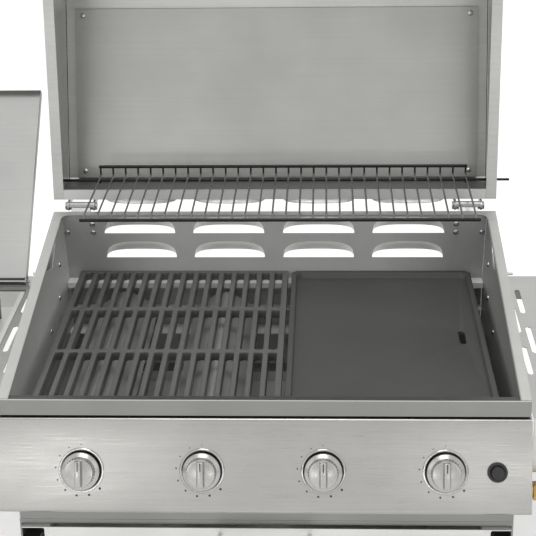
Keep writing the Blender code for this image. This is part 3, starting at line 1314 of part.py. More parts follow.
def lid_top_rise(forward):
    """Outer height of the lid's flat top at a distance forward of the hinge."""
    slope = (LID_TOP_RISE - LID_REAR_RISE) / (LID_TOP_REACH - LID_REAR)
    return LID_REAR_RISE + (forward - LID_REAR) * slope


def lid_outline():
    """Side view of the closed lid, from the rear foot over the top to the front foot."""
    corners = [(-LID_REAR, LID_RIM_GAP), (-LID_REAR, LID_REAR_RISE),
               (-LID_TOP_REACH, LID_TOP_RISE), (-LID_FRONT, LID_FRONT_RISE),
               (-LID_FRONT, LID_RIM_GAP)]
    radii = [0.0, LID_REAR_RADIUS, LID_TOP_RADIUS, LID_FRONT_RADIUS, 0.0]
    return rounded(corners, radii, LID_ARC_STEPS)


def liner_screw_places():
    """Screws through the lid's liner, and the direction of their heads."""
    slope = atan2(LID_TOP_RISE - LID_REAR_RISE, LID_TOP_REACH - LID_REAR)
    down = Vector((0.0, -sin(slope), -cos(slope)))
    places = []
    for forward in (LINER_START + LINER_SCREW_MARGIN, LINER_END - LINER_SCREW_MARGIN):
        height = lid_top_rise(forward) - (LINER_GAP + THIN_SHEET) / cos(slope)
        places += [(Vector((side * LINER_SCREW_PLACE, -forward, height)), down) for side in (1, -1)]
    return places


def lug_bolt_places():
    """Bolts from inside the lid's rear panel through the plates of the lugs."""
    inward = Vector((0.0, -1.0, 0.0))
    face = -LID_REAR - SHEET
    return [(Vector((side * HINGE_PLACE, face, LUG_BOLT_RISE)), inward) for side in (1, -1)]


def build_lid():
    """Skin, rear panel, ends, liner, lugs, handle and gauge, all in the lid's frame."""
    frame = empty("lid_axis", (0.0, HINGE_DEPTH, HINGE_HEIGHT), GRILL, -pi / 2 - LID_LEAN)
    outline = lid_outline()
    inside = LID_HALF_WIDTH - THIN_SHEET - CLEARANCE
    seam = LID_REAR_RISE - LID_SEAM_DROP
    skin_path = [(-LID_REAR, seam)] + [point for point in outline if point[1] > seam
                                       or point[0] < -LID_TOP_REACH]
    skin = extrude("lid_skin", strip(skin_path[::-1], THIN_SHEET)[::-1], -inside, inside)
    flange_half = LID_HALF_WIDTH - LID_FLANGE - CLEARANCE
    fuse(skin, box("front_flange", (-flange_half, -LID_FRONT, LID_RIM_GAP),
                   (flange_half, -LID_FRONT + LID_FLANGE, LID_RIM_GAP + THIN_SHEET)))
    middle = GAUGE_PLACE_SHARE
    gauge = Vector((0.0, -LID_TOP_REACH + middle * (LID_TOP_REACH - LID_FRONT),
                    LID_TOP_RISE + middle * (LID_FRONT_RISE - LID_TOP_RISE)))
    out = Vector((0.0, -(LID_TOP_RISE - LID_FRONT_RISE),
                  LID_FRONT - LID_TOP_REACH)).normalized()
    cut(skin, cylinder("gauge_hole", GAUGE_STEM_RADIUS + CLEARANCE, gauge - out * OVERRUN,
                       gauge + out * OVERRUN))
    for side in (1, -1):
        place = Vector((side * HANDLE_POST_PLACE, -LID_FRONT, HANDLE_RISE))
        cut(skin, bolt_hole(place, (0.0, 1.0, 0.0)))
    finish_node(skin, "brushed_steel", frame)

    rear = box("lid_rear_panel", (-inside, -LID_REAR - SHEET, LID_RIM_GAP),
               (inside, -LID_REAR, seam - CLEARANCE))
    louvres(rear, [LID_LOUVRE_HEIGHT], -SHEET / 2, 0.0, (0.0, -LID_REAR, 0.0))
    fuse(rear, box("rear_flange", (-flange_half, -LID_REAR - LID_FLANGE, LID_RIM_GAP),
                   (flange_half, -LID_REAR - SHEET / 2, LID_RIM_GAP + THIN_SHEET)))
    for place, direction in lug_bolt_places():
        fuse(rear, bolt(place, direction, SHEET + CLEARANCE + LUG_PLATE))
    finish_node(rear, "brushed_steel", frame)

    rod_depth, rod_rise = lid_point(RACK_ROD_DEPTH, RACK_HEIGHT - RACK_WIRE_RADIUS
                                    - RACK_ROD_RADIUS - CLEARANCE)
    rod_hole = circle_outline((rod_depth, rod_rise), RACK_ROD_RADIUS + CLEARANCE)
    end = extrude("lid_right_end", outline, LID_HALF_WIDTH - THIN_SHEET, LID_HALF_WIDTH,
                  holes=[rod_hole])
    fuse(end, box("end_flange",
                  (LID_HALF_WIDTH - LID_FLANGE, -LID_FRONT + THIN_SHEET + CLEARANCE, LID_RIM_GAP),
                  (LID_HALF_WIDTH, -LID_REAR - SHEET - CLEARANCE, LID_RIM_GAP + THIN_SHEET)))
    finish_node(mirrored(end, "lid_left_end"), "brushed_steel", frame)
    finish_node(end, "brushed_steel", frame)

    rod = cylinder("rack_rod", RACK_ROD_RADIUS,
                   (-LID_HALF_WIDTH - RACK_ROD_LEFT_REACH, rod_depth, rod_rise),
                   (RACK_ROD_RIGHT_END, rod_depth, rod_rise))
    finish_node(rod, "black_wire", frame)

    slope = atan2(LID_TOP_RISE - LID_REAR_RISE, LID_TOP_REACH - LID_REAR)
    under_skin = (THIN_SHEET + CLEARANCE) / cos(slope)
    gap = (LINER_GAP + THIN_SHEET) / cos(slope)
    line = [(-LINER_START, lid_top_rise(LINER_START) - under_skin),
            (-LINER_START, lid_top_rise(LINER_START) - gap),
            (-LINER_END, lid_top_rise(LINER_END) - gap),
            (-LINER_END, lid_top_rise(LINER_END) - under_skin)]
    liner = extrude("lid_liner", strip(line, THIN_SHEET), -LINER_HALF_WIDTH, LINER_HALF_WIDTH)
    for place, direction in liner_screw_places():
        fuse(liner, screw_head(place, direction))
    finish_node(liner, "brushed_steel", frame)

    build_lugs(frame)
    build_handle(frame)
    low, top = CLEARANCE, GAUGE_DEPTH
    case = turned("lid_thermometer", [
        (0.0, top - GAUGE_LIP), (GAUGE_RADIUS - GAUGE_LIP, top - GAUGE_LIP),
        (GAUGE_RADIUS - GAUGE_LIP, top), (GAUGE_RADIUS, top - GAUGE_LIP), (GAUGE_RADIUS, low),
        (GAUGE_STEM_RADIUS, low), (GAUGE_STEM_RADIUS, -GAUGE_STEM_LENGTH),
        (0.0, -GAUGE_STEM_LENGTH)])
    finish_node(aim(case, gauge, out), "chrome", frame)


def build_lugs(frame):
    """Two pairs of ears on plates, which hang the lid on the hinge pins."""
    face = -LID_REAR + CLEARANCE
    ear_outline = [(face, LUG_PLATE_START), (-LUG_RADIUS * KNUCKLE_WEB_SHARE, 0.0),
                   (LUG_RADIUS * KNUCKLE_WEB_SHARE, 0.0), (face + LUG_PLATE, LUG_PLATE_END),
                   (face, LUG_PLATE_END)]
    inner = KNUCKLE_HALF_LENGTH + CLEARANCE
    outer = inner + LUG_THICKNESS
    lug = box("lid_right_lug", (HINGE_PLACE - outer, face, LUG_PLATE_START),
              (HINGE_PLACE + outer, face + LUG_PLATE, LUG_PLATE_END))
    for low, high in ((-outer, -inner), (inner, outer)):
        fuse(lug, extrude("ear", ear_outline, HINGE_PLACE + low, HINGE_PLACE + high),
             cylinder("eye", LUG_RADIUS, (HINGE_PLACE + low, 0.0, 0.0),
                      (HINGE_PLACE + high, 0.0, 0.0)))
    cut(lug, cylinder("pin_hole", HINGE_PIN_RADIUS + CLEARANCE,
                      (HINGE_PLACE - outer - OVERRUN, 0.0, 0.0),
                      (HINGE_PLACE + outer + OVERRUN, 0.0, 0.0)))
    cut(lug, bolt_hole(*lug_bolt_places()[0]))
    finish_node(mirrored(lug, "lid_left_lug"), "chrome", frame)
    finish_node(lug, "chrome", frame)


def build_handle(frame):
    """Round handle bar on two posts in front of the lid."""
    middle = -LID_FRONT - HANDLE_REACH
    bar = cylinder("lid_handle", HANDLE_RADIUS, (-HANDLE_HALF_LENGTH, middle, HANDLE_RISE),
                   (HANDLE_HALF_LENGTH, middle, HANDLE_RISE), ROUND_STEPS)
    finish_node(bar, "brushed_steel", frame)
    neck = HANDLE_POST_RADIUS * HANDLE_NECK_SHARE
    place = (HANDLE_POST_PLACE, -LID_FRONT - CLEARANCE, HANDLE_RISE)
    inside = -THIN_SHEET - CLEARANCE * 2
    post = turned("lid_right_post", [
        (0.0, HANDLE_REACH), (HANDLE_POST_RADIUS, HANDLE_REACH),
        (HANDLE_POST_RADIUS, HANDLE_REACH - HANDLE_RADIUS - HANDLE_POST_RADIUS / 2),
        (neck, HANDLE_REACH - HANDLE_RADIUS - HANDLE_POST_RADIUS),
        (neck, HANDLE_POST_RADIUS), (HANDLE_POST_RADIUS, HANDLE_POST_RADIUS / 2),
        (HANDLE_POST_RADIUS, 0.0), (BOLT_RADIUS, 0.0), (BOLT_RADIUS, inside),
        (SCREW_HEAD_RADIUS, inside), (SCREW_HEAD_RADIUS, inside - SCREW_HEAD),
        (0.0, inside - SCREW_HEAD)], SMALL_STEPS)
    aim(post, place, (0.0, -1.0, 0.0))
    cut(post, cylinder("bar_seat", HANDLE_RADIUS + CLEARANCE,
                       (HANDLE_POST_PLACE - HANDLE_REACH, middle, HANDLE_RISE),
                       (HANDLE_POST_PLACE + HANDLE_REACH, middle, HANDLE_RISE), ROUND_STEPS))
    finish_node(mirrored(post, "lid_left_post"), "chrome", frame)
    finish_node(post, "chrome", frame)


def build_rack():
    """Wire rack: level wires with turned ends, welded to two rails, with rings round the rod."""
    height = RACK_HEIGHT
    rod_height = height - RACK_WIRE_RADIUS - RACK_ROD_RADIUS - CLEARANCE
    frame = empty("rack_axis", (0.0, RACK_ROD_DEPTH, rod_height), GRILL)
    shift = Vector((0.0, -RACK_ROD_DEPTH, -rod_height))
    corners = [(0.0, RACK_FRONT - RACK_FRONT_REACH, height - RACK_FRONT_DROP),
               (0.0, RACK_FRONT, height), (0.0, RACK_REAR, height),
               (0.0, RACK_REAR + RACK_REAR_REACH, height + RACK_REAR_RISE)]
    wire = move(tube("wire", corners, RACK_WIRE_RADIUS, WIRE_RESOLUTION), shift)
    places = [RACK_MIDDLE + (index - (RACK_WIRE_COUNT - 1) / 2) * RACK_WIRE_PITCH
              for index in range(RACK_WIRE_COUNT)]
    wires = gather(*[copy_of(wire, "wire_copy", (place, 0.0, 0.0)) for place in places])
    bpy.data.objects.remove(wire, do_unlink=True)
    rails = []
    for corner, reach in ((corners[0], RACK_RAIL_OVERHANG), (corners[-1], RACK_REAR_OVERHANG)):
        left = Vector((places[0] - reach, 0.0, 0.0))
        right = Vector((places[-1] + reach, 0.0, 0.0))
        rails.append(cylinder("rail", RACK_RAIL_RADIUS, Vector(corner) + left + shift,
                              Vector(corner) + right + shift, BOLT_STEPS))
    rack = add_object("warming_rack", rails[0].data.copy())
    bpy.data.objects.remove(rails[0], do_unlink=True)
    gather(rack, rails[1])
    fuse(rack, wires)
    ring_radius = RACK_WIRE_RADIUS + RACK_ROD_RADIUS + CLEARANCE
    for place in (places[0], places[-1]):
        bpy.ops.mesh.primitive_torus_add(
            major_radius=ring_radius, minor_radius=RACK_WIRE_RADIUS, major_segments=ROUND_STEPS,
            minor_segments=RACK_RING_STEPS, location=(place, 0.0, 0.0), rotation=(0.0, pi / 2, 0.0))
        ring = bpy.context.object
        ring.data.transform(ring.matrix_world)
        ring.matrix_world = Matrix.Identity(4)
        fuse(rack, ring)
    finish_node(rack, "black_wire", frame)


def build_tables():
    """Side tables with slots, and the arms that carry them."""
    for name, side in (("right_table", 1), ("left_table", -1)):
        top = -TABLE_DROP
        radius = TABLE_CORNER
        corners = [(TABLE_INNER, TABLE_FRONT), (TABLE_OUTER, TABLE_FRONT),
                   (TABLE_OUTER, TABLE_REAR), (TABLE_INNER, TABLE_REAR)]
        path = rounded(corners, [0.0, radius, radius, 0.0], TABLE_CORNER_STEPS)
        within = inset(path[::-1], THIN_SHEET)
        within = [(TABLE_INNER - OVERRUN, within[0][1]), *within[1:-1],
                  (TABLE_INNER - OVERRUN, within[-1][1])]
        holes = []
        for step in range(TABLE_SLOT_COUNT):
            centre = (TABLE_SLOT_PLACE, TABLE_SLOT_REAR - step * TABLE_SLOT_PITCH)
            holes.append(slot_outline(centre, TABLE_SLOT_LENGTH, TABLE_SLOT_WIDTH, steps=SLOT_STEPS))
        for step in range(TABLE_SLOT_COUNT - 1):
            centre = (TABLE_SLOT_INNER_PLACE,
                      TABLE_SLOT_REAR - (step + TABLE_SLOT_STAGGER_SHARE) * TABLE_SLOT_PITCH)
            holes.append(slot_outline(centre, TABLE_SLOT_LENGTH, TABLE_SLOT_WIDTH, steps=SLOT_STEPS))
        if side < 0:
            room = CLEARANCE
            holes.append(rectangle(-PAN_RIGHT - room, -PAN_LEFT + room, PAN_FRONT - room,
                                   PAN_REAR + room))
        table = extrude(name, path, top - TABLE_SKIRT, top, "Z", holes)
        fuse(table, box("apron", (TABLE_INNER, TABLE_FRONT, top - TABLE_APRON),
                        (TABLE_OUTER - radius, TABLE_FRONT + SHEET, top - TABLE_SKIRT / 2)))
        cut(table, extrude("underside", within, top - TABLE_SKIRT - OVERRUN, top - THIN_SHEET, "Z"))
        if side < 0:
            seat = Vector((-SIDE_KNOB_PLACE, TABLE_FRONT, -SIDE_KNOB_DROP))
            direction = Vector((0.0, -1.0, 0.0))
            fuse(table, bezel(seat, direction))
            cut(table, stem_hole(seat, direction))
            flipped = mirrored(table, "flipped")
            bpy.data.objects.remove(table, do_unlink=True)
            flipped.name = name
            table = flipped
        finish_node(table, "brushed_steel", GRILL)

    drop = TABLE_DROP + THIN_SHEET + CLEARANCE
    start = OUTER_HALF_WIDTH + CLEARANCE
    bracket = box("right_table_bracket", (start, ARM_FRONT, -drop - ARM_HEIGHT),
                  (start + ARM_PLATE, ARM_REAR, -drop))
    for depth in (ARM_FRONT, ARM_REAR):
        half, plate = ARM_WIDTH / 2, ARM_PLATE_WIDTH / 2
        fuse(bracket,
             box("arm", (start, depth - half, -drop - ARM_HEIGHT), (ARM_REACH, depth + half, -drop)),
             box("arm_plate", (start, depth - plate, -drop - ARM_PLATE_HEIGHT),
                 (start + ARM_PLATE, depth + plate, -drop)))
    for place, direction in arm_bolt_places():
        cut(bracket, bolt_hole(Vector(place) + Vector((SHEET, 0.0, 0.0)), direction))
    finish_node(mirrored(bracket, "left_table_bracket"), "painted_rim", GRILL)
    finish_node(bracket, "painted_rim", GRILL)


def build_side_burner():
    """Drop-in pan, burner head with its mixing tube, and pan support."""
    top = -TABLE_DROP + CLEARANCE
    floor = top - PAN_DEPTH
    pan = box("side_burner_pan", (PAN_LEFT, PAN_FRONT, floor), (PAN_RIGHT, PAN_REAR, top))
    reach = PAN_FLANGE
    fuse(pan, box("pan_flange", (PAN_LEFT - reach, PAN_FRONT - reach, top),
                  (PAN_RIGHT + reach, PAN_REAR + reach, top + PAN_SHEET)))
    wall = PAN_SHEET
    cut(pan, box("recess", (PAN_LEFT + wall, PAN_FRONT + wall, floor + wall),
                 (PAN_RIGHT - wall, PAN_REAR - wall, top + OVERRUN)))
    centre = Vector((SIDE_KNOB_PLACE, (PAN_FRONT + PAN_REAR) / 2, 0.0))
    cut(pan, cylinder("neck_hole", SIDE_NECK_RADIUS + CLEARANCE,
                      centre + Vector((0.0, 0.0, floor - OVERRUN)),
                      centre + Vector((0.0, 0.0, floor + OVERRUN)), ROUND_STEPS))
    finish_node(pan, "brushed_steel", GRILL)

    low = floor + wall + CLEARANCE
    cap = low + SIDE_HEAD_HEIGHT
    head = turned("side_burner_head", [
        (0.0, cap + SIDE_CAP_HEIGHT), (SIDE_CAP_RADIUS - KNOB_EDGE, cap + SIDE_CAP_HEIGHT),
        (SIDE_CAP_RADIUS, cap + SIDE_CAP_HEIGHT - KNOB_EDGE), (SIDE_CAP_RADIUS, cap),
        (SIDE_HEAD_RADIUS, cap), (SIDE_HEAD_RADIUS, low), (SIDE_NECK_RADIUS, low),
        (SIDE_NECK_RADIUS, -SIDE_KNOB_DROP), (0.0, -SIDE_KNOB_DROP)])
    move(head, centre)
    mouth = TABLE_FRONT + THIN_SHEET + SIDE_VALVE_FRONT_GAP + SIDE_VALVE_DEPTH + SIDE_TUBE_MOUTH
    along = Vector((centre.x, mouth, -SIDE_KNOB_DROP))
    end = Vector((centre.x, centre.y + SIDE_NECK_RADIUS, -SIDE_KNOB_DROP))
    fuse(head, cylinder("mixing_tube", SIDE_TUBE_RADIUS, along, end, ROUND_STEPS))
    cut(head, cylinder("bore", SIDE_TUBE_RADIUS - SIDE_TUBE_WALL,
                       along - Vector((0.0, OVERRUN, 0.0)), Vector((centre.x, centre.y, along.z)),
                       ROUND_STEPS))
    finish_node(head, "cast_iron", GRILL)

    half, bar = TRIVET_HALF_SIZE, TRIVET_BAR
    square = rectangle(centre.x - half, centre.x + half, centre.y - half, centre.y + half)
    inner, tip = half - bar, TRIVET_FINGER_REACH
    quarter = [(inner, inner), (bar / 2, inner), (bar / 2, tip), (-bar / 2, tip),
               (-bar / 2, inner)]
    opening = []
    for turn in range(4):
        for across, along in quarter:
            for _ in range(turn):
                across, along = -along, across
            opening.append((centre.x + across, centre.y + along))
    trivet = extrude("side_burner_grate", square, TRIVET_TOP - TRIVET_RING_HEIGHT, TRIVET_TOP, "Z",
                     [opening])
    foot = bar / 2 - CLEARANCE
    for across in (1, -1):
        for along in (1, -1):
            corner = centre + Vector((across * (half - bar / 2), along * (half - bar / 2), 0.0))
            fuse(trivet, box("foot", (corner.x - foot, corner.y - foot, low),
                             (corner.x + foot, corner.y + foot,
                              TRIVET_TOP - TRIVET_RING_HEIGHT / 2)))
    finish_node(trivet, "cast_iron", GRILL)
    build_side_lid()


def build_side_lid():
    """Shallow lid over the side burner, on two pins in ears on the table."""
    frame = empty("side_lid_axis", (0.0, SIDE_LID_HINGE_DEPTH, SIDE_LID_HINGE_HEIGHT), GRILL,
                  -SIDE_LID_OPEN)
    start, end = -SIDE_LID_START, -SIDE_LID_START - SIDE_LID_LENGTH
    low, high, sheet = -SIDE_LID_FALL, SIDE_LID_RISE, SIDE_LID_SHEET
    lid = box("side_burner_lid", (SIDE_LID_LEFT, end, low), (SIDE_LID_RIGHT, start, high))
    soften = lid.modifiers.new("edges", "BEVEL")
    soften.width = SIDE_LID_BEVEL
    soften.segments = 2
    soften.limit_method = "ANGLE"
    bpy.context.view_layer.update()
    bake(lid)
    cut(lid, box("hollow", (SIDE_LID_LEFT + sheet, end + sheet, low - OVERRUN),
                 (SIDE_LID_RIGHT - sheet, start - sheet, high - sheet)))
    middle = (SIDE_LID_LEFT + SIDE_LID_RIGHT) / 2
    boss = SIDE_PIN_BOSS_RADIUS
    for side, edge in ((1, SIDE_LID_RIGHT), (-1, SIDE_LID_LEFT)):
        root = edge - side * sheet / 2
        tab = sorted((root, root - side * sheet * 3 / 2))
        half = boss * KNUCKLE_WEB_SHARE
        fuse(lid, box("pin_tab", (tab[0], start - SIDE_TAB_LENGTH, -half), (tab[1], 0.0, half)),
             cylinder("pin_boss", boss, (root - side * sheet * 2, 0.0, 0.0),
                      (root + side * CLEARANCE, 0.0, 0.0)),
             cylinder("pin", SIDE_PIN_RADIUS, (root - side * sheet, 0.0, 0.0),
                      (edge + side * SIDE_PIN_REACH, 0.0, 0.0)))
    half, grip = (low + high) / 2, SIDE_PULL_THICKNESS / 2
    fuse(lid, box("pull", (middle - SIDE_PULL_HALF_WIDTH, end - SIDE_PULL_REACH, half - grip),
                  (middle + SIDE_PULL_HALF_WIDTH, end + sheet / 2, half + grip)))
    finish_node(lid, "brushed_steel", frame)

    depth, height = SIDE_LID_HINGE_DEPTH, SIDE_LID_HINGE_HEIGHT
    seat = -TABLE_DROP + CLEARANCE
    reach = CLEARANCE + SIDE_EAR
    hinge = box("side_lid_hinge_plate",
                (SIDE_LID_LEFT - reach, depth - SIDE_EAR_HALF_DEPTH, seat),
                (SIDE_LID_RIGHT + reach, depth + SIDE_EAR_HALF_DEPTH, seat + SIDE_EAR))
    for side, edge in ((1, SIDE_LID_RIGHT), (-1, SIDE_LID_LEFT)):
        plate = sorted((edge + side * CLEARANCE, edge + side * reach))
        fuse(hinge, box("ear", (plate[0], depth - SIDE_EAR_HALF_DEPTH, seat),
                        (plate[1], depth + SIDE_EAR_HALF_DEPTH, height + SIDE_EAR_RISE)))
        cut(hinge, cylinder("pin_hole", SIDE_PIN_RADIUS + CLEARANCE,
                            (plate[0] - OVERRUN, depth, height),
                            (plate[1] + OVERRUN, depth, height)))
    finish_node(hinge, "chrome", GRILL)


def build_base():
    """Base frame under the firebox, with runners, and the four feet."""
    top = -FIREBOX_DROP - CLEARANCE
    low = top - BASE_HEIGHT
    outer = WALL_HALF_WIDTH + SHEET
    front, rear = FRONT_WALL_DEPTH - SHEET, REAR_KNEE_DEPTH + SHEET
    runner = top - RUNNER_DROP
    base = box("base_frame", (-outer, front, low), (outer, rear, top))
    wide = WALL_HALF_WIDTH - TRAY_SIDE_GAP / 2
    cut(base, box("inside", (-WALL_HALF_WIDTH, front + SHEET, low - OVERRUN),
                  (WALL_HALF_WIDTH, rear - SHEET, top + OVERRUN)),
        box("front_opening", (-wide, front - OVERRUN, low - OVERRUN),
            (wide, front + SHEET + OVERRUN, top - BASE_STRIP_HEIGHT)))
    first, last = front + SHEET / 2, rear - SHEET / 2
    for side in (1, -1):
        root = side * (outer - SHEET / 2)
        foot = sorted((root, side * (outer - BASE_BEAM_WIDTH)))
        shelf = sorted((root, side * (WALL_HALF_WIDTH - BASE_BEAM_WIDTH - RUNNER_REACH)))
        fuse(base, box("beam_foot", (foot[0], first, low + CLEARANCE),
                       (foot[1], last, low + CLEARANCE + SHEET)),
             box("runner", (shelf[0], first, runner - RUNNER_THICKNESS), (shelf[1], last, runner)))
    finish_node(base, "painted_rim", GRILL)

    place = outer - FOOT_INSET
    ground = -GRATE_HEIGHT
    foot = turned("foot", [
        (0.0, low - CLEARANCE), (FOOT_RADIUS, low - CLEARANCE),
        (FOOT_RADIUS, ground + FOOT_PAD_HEIGHT), (FOOT_PAD_RADIUS, ground + FOOT_PAD_HEIGHT),
        (FOOT_PAD_RADIUS, ground), (0.0, ground)])
    for side, name in ((1, "right"), (-1, "left")):
        for depth, end in ((FOOT_FRONT, "front"), (FOOT_REAR, "rear")):
            finish_node(add_object(f"foot_{end}_{name}", foot.data.copy()), "rubber", GRILL,
                        place=(side * place, depth, 0.0))
    bpy.data.objects.remove(foot, do_unlink=True)


def build_tray():
    """Grease tray that slides out to the front, and the cup that hangs under its drain."""
    top = -FIREBOX_DROP - CLEARANCE - RUNNER_DROP + CLEARANCE
    runner_end = WALL_HALF_WIDTH - BASE_BEAM_WIDTH - RUNNER_REACH
    wide = WALL_HALF_WIDTH - TRAY_SIDE_GAP
    narrow = runner_end - TRAY_SIDE_GAP
    sheet = THIN_SHEET
    floor = top - TRAY_DEPTH
    first, last = TRAY_FRONT + CLEARANCE, TRAY_REAR - CLEARANCE
    tray = box("grease_tray", (-wide, TRAY_FRONT, top), (wide, TRAY_REAR, top + sheet))
    fuse(tray, box("body", (-narrow, first, floor), (narrow, last, top + sheet / 2)))
    cut(tray, box("pocket", (-narrow + sheet, first + sheet, floor + sheet),
                  (narrow - sheet, last - sheet, top + OVERRUN)))
    drain = Vector((0.0, DRAIN_DEPTH, floor))
    rise = Vector((0.0, 0.0, OVERRUN))
    cut(tray, cylinder("drain", DRAIN_RADIUS, drain - rise, drain + rise, ROUND_STEPS))
    grip = TRAY_PULL_RADIUS
    height = (floor + top) / 2
    corners = [(-TRAY_PULL_HALF_WIDTH, first + sheet / 2, height),
               (-TRAY_PULL_HALF_WIDTH, TRAY_FRONT - TRAY_PULL_REACH, height),
               (TRAY_PULL_HALF_WIDTH, TRAY_FRONT - TRAY_PULL_REACH, height),
               (TRAY_PULL_HALF_WIDTH, first + sheet / 2, height)]
    pull = tube("pull", rounded(corners, [0.0, grip * 2, grip * 2, 0.0]), grip)
    fuse(tray, pull)
    hang = CUP_HALF_WIDTH + CUP_FLANGE + CLEARANCE
    deep = CUP_HANGER_DROP
    for side in (1, -1):
        line = [(side * (hang + sheet), floor + sheet / 2), (side * (hang + sheet), floor - deep),
                (side * (CUP_HALF_WIDTH + CLEARANCE), floor - deep)]
        section = strip(line if side > 0 else line[::-1], sheet)
        fuse(tray, extrude("hanger", section, DRAIN_DEPTH - CUP_HANGER_LENGTH / 2,
                           DRAIN_DEPTH + CUP_HANGER_LENGTH / 2, "Y"))
    finish_node(tray, "brushed_steel", GRILL)

    seat = floor - deep + sheet + CLEARANCE
    wide, deep = CUP_HALF_WIDTH, CUP_HALF_DEPTH
    cup = box("grease_cup", (-wide, DRAIN_DEPTH - deep, seat - CUP_HEIGHT),
              (wide, DRAIN_DEPTH + deep, seat))
    reach = CUP_FLANGE
    fuse(cup, box("cup_flange", (-wide - reach, DRAIN_DEPTH - deep - reach, seat),
                  (wide + reach, DRAIN_DEPTH + deep + reach, seat + sheet)))
    cut(cup, box("hollow", (-wide + sheet, DRAIN_DEPTH - deep + sheet, seat - CUP_HEIGHT + sheet),
                 (wide - sheet, DRAIN_DEPTH + deep - sheet, seat + OVERRUN)))
    finish_node(cup, "brushed_steel", GRILL)


def main():
    """Build every sub-part."""
    build_firebox()
    build_cooking_plates()
    build_burners()
    build_panel()
    build_knobs()
    build_gas_train()
    build_hinges()
    build_lid()
    build_rack()
    build_tables()
    build_side_burner()
    build_base()
    build_tray()


main()
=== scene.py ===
"""Gas grill: finishes, fine pieces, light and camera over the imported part."""
import json
from math import atan2, cos, hypot, pi, radians, sin, sqrt, tan

import bpy
from bpy.props import FloatProperty, FloatVectorProperty, PointerProperty
from mathutils import Matrix, Vector

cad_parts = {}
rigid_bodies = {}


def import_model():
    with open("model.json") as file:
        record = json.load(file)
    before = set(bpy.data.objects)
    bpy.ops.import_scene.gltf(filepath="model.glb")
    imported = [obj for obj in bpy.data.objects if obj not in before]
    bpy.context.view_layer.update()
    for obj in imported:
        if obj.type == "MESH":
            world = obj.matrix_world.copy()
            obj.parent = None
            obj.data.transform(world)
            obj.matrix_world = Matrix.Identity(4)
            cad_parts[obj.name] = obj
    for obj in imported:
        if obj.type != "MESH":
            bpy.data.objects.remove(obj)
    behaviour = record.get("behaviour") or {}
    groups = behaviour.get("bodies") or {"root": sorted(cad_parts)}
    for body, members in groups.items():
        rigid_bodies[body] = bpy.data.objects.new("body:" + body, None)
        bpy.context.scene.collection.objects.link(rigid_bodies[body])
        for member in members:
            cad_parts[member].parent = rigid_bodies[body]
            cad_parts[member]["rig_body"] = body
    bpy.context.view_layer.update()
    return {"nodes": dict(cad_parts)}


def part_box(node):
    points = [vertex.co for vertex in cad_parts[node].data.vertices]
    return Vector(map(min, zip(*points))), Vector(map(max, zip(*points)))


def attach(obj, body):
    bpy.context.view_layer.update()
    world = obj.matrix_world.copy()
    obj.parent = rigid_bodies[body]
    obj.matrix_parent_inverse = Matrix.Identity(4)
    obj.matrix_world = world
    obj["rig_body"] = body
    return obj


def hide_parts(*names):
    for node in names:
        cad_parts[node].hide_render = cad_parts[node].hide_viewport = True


bl_info = {
    "name": "Gas grill",
    "version": (1, 0, 0),
    "blender": (4, 5, 0),
    "location": "3D View > Sidebar > Gas grill",
    "description": "Finishes and fine pieces of a gas grill with a griddle and a side burner",
    "category": "Object",
}

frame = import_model()

# Sheets, and the distance at which doubled points are one
SHEET = 0.0015
THIN_SHEET = 0.0012
WELD = 0.00001

# Angles between two faces: shaded smooth below the first, rounded above the second, and made one
# face below the third
SMOOTH_ANGLE = radians(35.0)
SHARP_ANGLE = radians(32.0)
FLAT_ANGLE = radians(1.0)

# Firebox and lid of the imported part, measured from the front top edge of the grate
GRILL = Matrix.Translation((0.0, -0.2788, 0.245))
WALL_HALF_WIDTH = 0.328
RIM_FRONT_DEPTH = -0.041
RIM_FRONT_HEIGHT = 0.0205
RIM_REAR_DEPTH = 0.423
RIM_REAR_HEIGHT = 0.1039
RIM_SLOPE = atan2(RIM_REAR_HEIGHT - RIM_FRONT_HEIGHT, RIM_REAR_DEPTH - RIM_FRONT_DEPTH)
REAR_TOP_DEPTH = 0.4115
REAR_TOP_HEIGHT = RIM_FRONT_HEIGHT + (REAR_TOP_DEPTH - RIM_FRONT_DEPTH) * tan(RIM_SLOPE)
REAR_KNEE_DEPTH = 0.436
REAR_KNEE_DROP = 0.014
REAR_LEAN = atan2(REAR_KNEE_DEPTH - REAR_TOP_DEPTH, REAR_TOP_HEIGHT + REAR_KNEE_DROP)
REAR = (GRILL @ Matrix.Translation((0.0, REAR_TOP_DEPTH, REAR_TOP_HEIGHT))
        @ Matrix.Rotation(REAR_LEAN, 4, "X"))
HINGE_DEPTH = 0.440
HINGE_HEIGHT = 0.107
LID_LEAN = radians(6.0)
LID = (GRILL @ Matrix.Translation((0.0, HINGE_DEPTH, HINGE_HEIGHT))
       @ Matrix.Rotation(-pi / 2 - LID_LEAN, 4, "X"))
LID_REAR_FACE = -0.0096
LID_REAR_TOP = 0.135
LID_KNEE_REACH = 0.345
LID_KNEE_HEIGHT = 0.196
LID_FRONT_REACH = 0.493
LID_FRONT_HEIGHT = 0.075

# Grate, and its slots, which are wider and longer at the top
GRATE_LEFT = -0.3075
GRATE_RIGHT = 0.0220
GRATE_FRONT = -0.003
GRATE_REAR = 0.4325
GRATE_THICKNESS = 0.013
GRATE_COLUMNS = 16
GRATE_ROWS = 3
GRATE_SIDE_BORDER = 0.0092
GRATE_FRONT_BORDER = 0.009
GRATE_REAR_BORDER = 0.006
GRATE_BAR = 0.0080
GRATE_CROSSBAR = 0.0085
SLOT_RADIUS_SHARE = 0.43
SLOT_SHORTER = 0.002
SLOT_CLEAR = 0.003
SLOT_DRAFT = (1.28, 1.02, 1.0)

